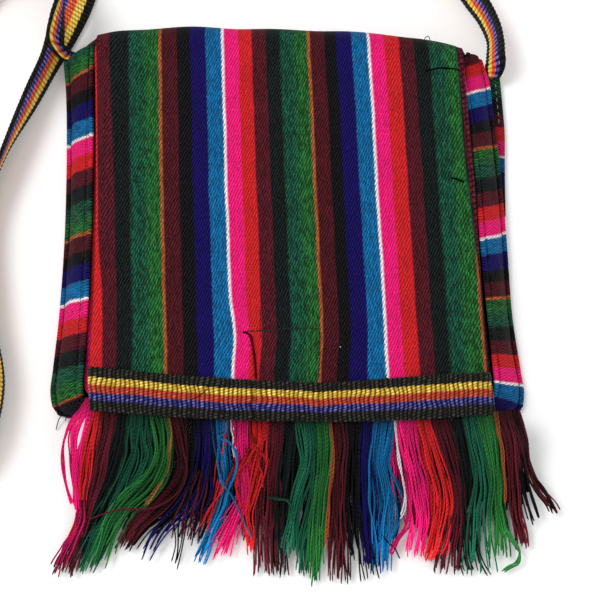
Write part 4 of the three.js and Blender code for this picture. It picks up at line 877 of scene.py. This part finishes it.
# ---- strap --------------------------------------------------------------------------------------------------
ST = np.array(STRAP, float)
dense = np.linspace(0, 1, 6000)
flat = spline(np.column_stack([ST[:, :2]]), dense)
run = np.concatenate([[0], np.linalg.norm(np.diff(flat, axis=0), axis=1).cumsum()])
COUNT = int(run[-1] / (RIB / 3))
at = np.interp(np.linspace(0, run[-1], COUNT), run, dense)
mid = spline(ST[:, :2], at)
tangent = unit(np.gradient(mid, axis=0))
extra = along(np.column_stack([np.arange(len(ST)) / (len(ST) - 1), ST[:, 2:]]), at)
tilt, lift, width = np.radians(extra[:, 0]), extra[:, 1], np.minimum(extra[:, 2], BAND_W)
left = np.stack([-tangent[:, 1], tangent[:, 0]], -1)
z = lift + width / 2 * np.abs(np.sin(tilt)) + BAND_T / 2 * np.abs(np.cos(tilt))
MID = np.column_stack([mid, z])
side = np.column_stack([left * np.cos(tilt)[:, None], np.sin(tilt)]) * (width / 2)[:, None]
c = np.array([-1, -0.985, -0.95, -0.88, -0.76, -0.64, -0.52, -0.39, -0.26, -0.13, 0, 0.13, 0.26, 0.39, 0.52, 0.64, 0.76, 0.88, 0.95, 0.985, 1])
P = MID[:, None] + side[:, None] * c[None, :, None]
X = np.broadcast_to(np.linspace(0, run[-1], COUNT)[:, None], P.shape[:2])
D = np.broadcast_to((BAND_W * (1 - c) / 2)[None, :], P.shape[:2])  # yellow lies towards +side
edge = np.minimum(D, BAND_W - D)
thick = BAND_T * np.sqrt(np.maximum(1 - (1 - np.minimum(edge, 0.8) / 0.8) ** 2, 0.06))
relief = 0.4 * (np.abs(np.sin(X / RIB * math.pi)) ** 0.75 - 0.5)
place = at[:, None] * (len(ST) - 1)
rolled = 2.8 * smooth(33.4, 34.8, place) * smooth(37.6, 36.9, place)
narrow = np.interp(D, [0, 4.5, 8.8, 13.0, 17.6, BAND_W], [0, 4.4, 7.6, 11.1, 14.5, BAND_W])  # its upper edge turns away from the eye on the left
D = lerp(D, narrow, smooth(12, 15, place) * smooth(33.4, 32.4, place))
uv = np.stack([X, np.minimum(D + rolled, BAND_W)], -1)
V, Q, W = shell(P, uv, thick, relief, relief)
# The strap's band is a brighter copy of the trim's weave: painted light.
strap = piece("strap_weave", V, Q, {"UVMap": W}, woven("woven_band_strap_brightened", 1.55, 0.5, 0.7), ["strap"])

# ---- fringe -------------------------------------------------------------------------------------------------
rng = np.random.default_rng(11)
CENTRE = {key: (start + (STRIPES + [(REPEAT, "")])[i + 1][0]) / 2 for i, (start, key) in enumerate(STRIPES)}
HALF = {key: ((STRIPES + [(REPEAT, "")])[i + 1][0] - start) / 2 for i, (start, key) in enumerate(STRIPES)}
POINTS = 26
# Brightness of each bunch: partly its own colour, partly painted light and shade.
BRIGHT = {"crimson_tips": 0.7, "pink_left": 1.25, "pink_under": 1.1, "pink_outer": 1.3, "maroon_low": 1.4, "pink_r": 1.2, "teal_c": 1.6, "teal_rr": 1.7, "teal_left": 1.15, "maroon_tips": 1.5, "maroon_left": 1.4, "green_left": 1.25, "green_rr": 1.5, "green_loop": 3.4, "green_c": 1.2, "maroon_rrr": 1.6, "outer_swing": 1.5, "dark_out": 1.4, "maroon_c": 1.25, "cyan_cross": 1.3, "cyan_curl": 1.3}
paths, tags, radii, shades = [], [], [], []


def lay_yarn(rows, a, depth, end, wander, fan):
    k = len(rows)
    drift = np.cumsum(rng.normal(0, wander, k)) - wander * 0.5
    drift[0] = 0
    share = np.clip(a + drift, -0.15, 1.15)
    x = lerp(rows[:, 1], rows[:, 2], share)
    y = rows[:, 0] + rng.normal(0, 0.5, k)
    y[0] = rows[0, 0]
    line = spline(np.stack([x, y], -1), np.linspace(0, end, POINTS * 3))
    length = np.concatenate([[0], np.linalg.norm(np.diff(line, axis=0), axis=1).cumsum()])
    line = np.stack([np.interp(np.append(np.linspace(0, 0.985, POINTS - 1), 1.0) * length[-1], length, line[:, i]) for i in (0, 1)], -1)
    fall = np.clip((-95.5 - line[:, 1]) / FRINGE_LONG, 0, 1)
    # a yarn that turns back up stays at the height that it had reached
    fall = np.maximum.accumulate(fall) * 0.6 + fall * 0.4
    zc, thick = along(FALL, fall).T
    z = zc + thick * (depth - 0.5)
    phase = rng.uniform(0, 6.28, 2)
    step = np.linspace(0, 1, POINTS)
    z = z + 0.35 * np.sin(step * 11 + phase[0]) * smooth(0.1, 0.4, step)
    z = np.maximum(z, YARN_R + 0.05)
    xx, yy = seen_at(line[:, 0], line[:, 1], z)
    xx = xx + 0.28 * np.sin(step * 15 + phase[1]) * smooth(0.05, 0.3, step) + fan * smooth(0.55, 1.05, step)
    return np.stack([xx, yy, z], -1)


for name, color, count, lift, outline in TUFTS:
    outline = np.array(outline)
    rooted = outline[0, 0] > -100
    if rooted:  # start under the trim
        u0 = np.clip((outline[0, 1:].mean() - 3.0) / 89.0, -1, 1)
        root = trim_low_y(u0) + 2.4
        outline = np.vstack([[max(root, outline[0, 0] + 1.0), outline[0, 1], outline[0, 2]], outline])
    # a bed of yarns below, darkened as painted shade, single strands on top of it
    # the void bunches are painted shade: thick dark yarns under the rest
    deep = name.startswith("void")
    layers = [] if deep else [(count if count < 10 else int(count * 0.85), lift * 0.62 + 0.32, 0.3, True)]
    if count >= 10:
        layers.append((int(count * 0.8), lift * 0.5 - 0.1, 0.3, False))
    for number, height, spread, top in layers:
        order = rng.permutation(number)
        for n in range(number):
            a = (n + rng.uniform(0.0, 1.0)) / number
            depth = np.clip(height + spread * (order[n] / max(number - 1, 1) - 0.5), 0, 1.1)
            if count < 10:
                end, light, fan = rng.uniform(0.9, 1.0), rng.uniform(0.7, 1.2), rng.normal(0, 0.4) if count > 4 else 0.0
            elif top:
                end = rng.uniform(0.93, 1.0) if rng.random() < 0.82 else rng.uniform(0.7, 0.94)
                light, fan = rng.uniform(0.55, 1.2) + 0.4 * (rng.random() < 0.22), rng.normal(0, 1.2)
            else:
                end, light, fan = rng.uniform(0.8, 1.0) if deep else rng.uniform(0.62, 0.96), rng.uniform(0.2, 0.5), rng.normal(0, 0.9)
            light = light * BRIGHT.get(name, 1.0)
            paths.append(lay_yarn(outline, a, depth, end, 0.008 if deep else 0.06 if count > 4 else 0.015, fan))
            tags.append(CENTRE[color] + HALF[color] * rng.uniform(-0.72, 0.72) * (0.3 if color in ("white", "orange") else 1))
            radii.append(YARN_R * rng.uniform(0.86, 1.12) * (1.0 if top else 2.2 if deep else 1.35))
            shades.append((light, rng.uniform(0, 3)))
paths, tags, radii, shades = np.array(paths), np.array(tags), np.array(radii), np.array(shades)
YARN = yarn("fringe_yarn")
step = np.linspace(0, 1, POINTS)
shape = np.where(step > 0.98, 0.5, 1.0) * np.where(step < 0.02, 0.6, 1.0) * (1 + 0.12 * np.sin(step * 5))
R = radii[:, None] * shape[None, :]
thirds = np.digitize(paths[:, 0, 0], [-30, 33])
for k, label in enumerate(("fringe_left", "fringe_middle", "fringe_right")):
    pick = np.flatnonzero(thirds == k)
    V, Q, W, X, Y = tubes(paths[pick], R[pick], 5, tags[pick], shades[pick])
    piece(label, V, Q, {"UVMap": W, "Twist": X, "Shade": Y}, YARN, ["fringe"])

# ---- stitches and loose threads -----------------------------------------------------------------------------
def on_flap(points, lift):
    """Points x, y on the flap's face."""
    p = np.array(points, float)
    out = []
    for x, y in p:
        u = 0.0
        for _ in range(6):
            t = (flap_top_y(u) - y) / (flap_top_y(u) - trim_low_y(u))
            l, r = along([row[:3] for row in FLAP], t)
            u = float(np.clip(2 * (x - l) / (r - l) - 1, -1, 1))
        z = flap_point(np.array(u), np.array(np.clip(t, 0, 1)))[2]
        out.append((x, y, z + CLOTH / 2 + lift))
    return np.array(out)


def line_between(points, step=0.8):
    p = np.array(points, float)
    run = np.concatenate([[0], np.linalg.norm(np.diff(p, axis=0), axis=1).cumsum()])
    at = np.arange(0, run[-1] + step, step)
    return np.stack([np.interp(at, run, p[:, i]) for i in range(2)], -1)


parts = [stitches(on_flap(line_between(line), lift), 2.4, 2.1, radius, 0.1) for line, radius, lift in ((PATCH[:4], 0.34, 0.14), (PATCH[3:], 0.3, 0.14))]
V, Q, W, X = joined(parts)
piece("closure_stitches", V, Q, {"UVMap": W, "Twist": X}, thread("closure_thread", (16, 8, 12), (44, 20, 26)))

DARK = thread("loose_thread", (14, 9, 11), (40, 28, 30), 0.05)


def loose(name, lines, radius, material, points=26):
    p = np.array([spline(np.array(l, float), np.linspace(0, 1, points)) for l in lines])
    V, Q, W, X = tubes(p, np.broadcast_to(radius * np.where(np.linspace(0, 1, points) > 0.97, 0.5, 1.0), (len(lines), points)), 5)
    return piece(name, V, Q, {"UVMap": W, "Twist": X}, material)


loose("pulled_threads", [on_flap(TUGS[0], 0.2), on_flap(TUGS[1], 0.15)], 0.5, thread("pulled_thread", (6, 4, 5), (20, 14, 15), 0.0))
loose("fold_shade", [on_flap([(x - 0.9, y) for x, y in PATCH_FOLD[1:]], -0.75)], 1.1, thread("fold_half_shadow", (112, 12, 46), (132, 16, 56), 0.0), 60)
# A dark tube along the closure's fold: painted shadow of the crease.
loose("fold_crease_shadow", [on_flap(PATCH_FOLD, 0.05)], 0.58, thread("fold_shadow", (44, 4, 16), (72, 8, 26), 0.0), 60)
loose("trim_thread", [[(-41.2, -87.2, 26.5), (-38.5, -86.1, 27.1), (-35.9, -84.4, 27.1), (-33.8, -82.3, 26.6)]], 0.2, DARK)
loose("corner_fibres", [[(-99.4, -89.4, 9.0), (-101.4, -92.0, 6.0), (-103.8, -94.1, 3.0), (-105.6, -99.0, 0.6)], [(-96.7, -89.9, 9.0), (-96.8, -92.0, 6.0), (-97.9, -93.6, 3.0), (-99.6, -95.3, 1.0)], [(-98.1, -89.4, 9.0), (-99.1, -92.0, 6.0), (-100.6, -93.6, 3.0), (-101.5, -94.9, 1.0)]], 0.22, DARK)
loose("white_nub", [on_flap([(24.63, -63.28), (24.9, -63.46), (25.12, -63.64)], 0.15)], 0.17, thread("white_thread", (225, 222, 220), (240, 240, 240)), 8)
loose("crest_loops", [[(-33.3, 90.2, 15), (-32.7, 91, 16.5), (-31.8, 91.2, 16.5), (-31.4, 90.2, 15)], [(-17.5, 89.7, 15), (-17, 90.5, 16), (-16.2, 90.2, 16), (-16, 89.7, 15)], [(66.4, 85.6, 15), (67.2, 86.7, 16.5), (68.4, 87, 16.5), (69.3, 85.6, 15)]], 0.2, thread("crest_thread", (40, 60, 80), (120, 60, 70)), 14)

# ---- floor, light and camera --------------------------------------------------------------------------------
floor_mesh = bpy.data.meshes.new("floor")
floor_mesh.from_pydata([(-6, -6, -0.0003), (6, -6, -0.0003), (6, 6, -0.0003), (-6, 6, -0.0003)], [], [(0, 1, 2, 3)])
floor = bpy.data.objects.new("floor", floor_mesh)
bpy.context.scene.collection.objects.link(floor)
ground = Sheet("pale_floor")
ground.finish((0.97, 0.97, 0.97, 1.0), None, roughness=0.9, sheen=0.0, specular=0.05)
floor_mesh.materials.append(ground.material)


def area_light(name, at, target, size, power, color=(1, 1, 1)):
    data = bpy.data.lights.new(name, "AREA")
    data.shape = "DISK"
    data.size = size
    data.energy = power
    data.color = color
    obj = bpy.data.objects.new(name, data)
    obj.location = at
    away = np.array(at) - np.array(target)
    obj.rotation_euler = (math.acos(away[2] / np.linalg.norm(away)), 0, math.atan2(away[1], away[0]) + math.pi / 2)
    bpy.context.scene.collection.objects.link(obj)
    return obj


area_light("key", (-0.74, 0.29, 1.28), (0.0, -0.03, 0.0), 0.6, 10.0, (1.0, 0.99, 0.98))
world = bpy.data.worlds.new("studio")
bpy.context.scene.world = world
world.use_nodes = True
world.node_tree.nodes["Background"].inputs[0].default_value = (1.0, 1.0, 1.0, 1.0)
world.node_tree.nodes["Background"].inputs[1].default_value = 0.87

camera_data = bpy.data.cameras.new("camera")
camera_data.sensor_width = 36.0
camera_data.lens = 61.0
camera = bpy.data.objects.new("camera", camera_data)
camera.location = tuple(EYE * MM)
camera.rotation_euler = (math.radians(10), 0.0, 0.0)
bpy.context.scene.collection.objects.link(camera)
bpy.context.scene.camera = camera
bpy.context.scene.view_settings.view_transform = "Standard"
bpy.context.scene.view_settings.look = "None"

bpy.context.view_layer.update()
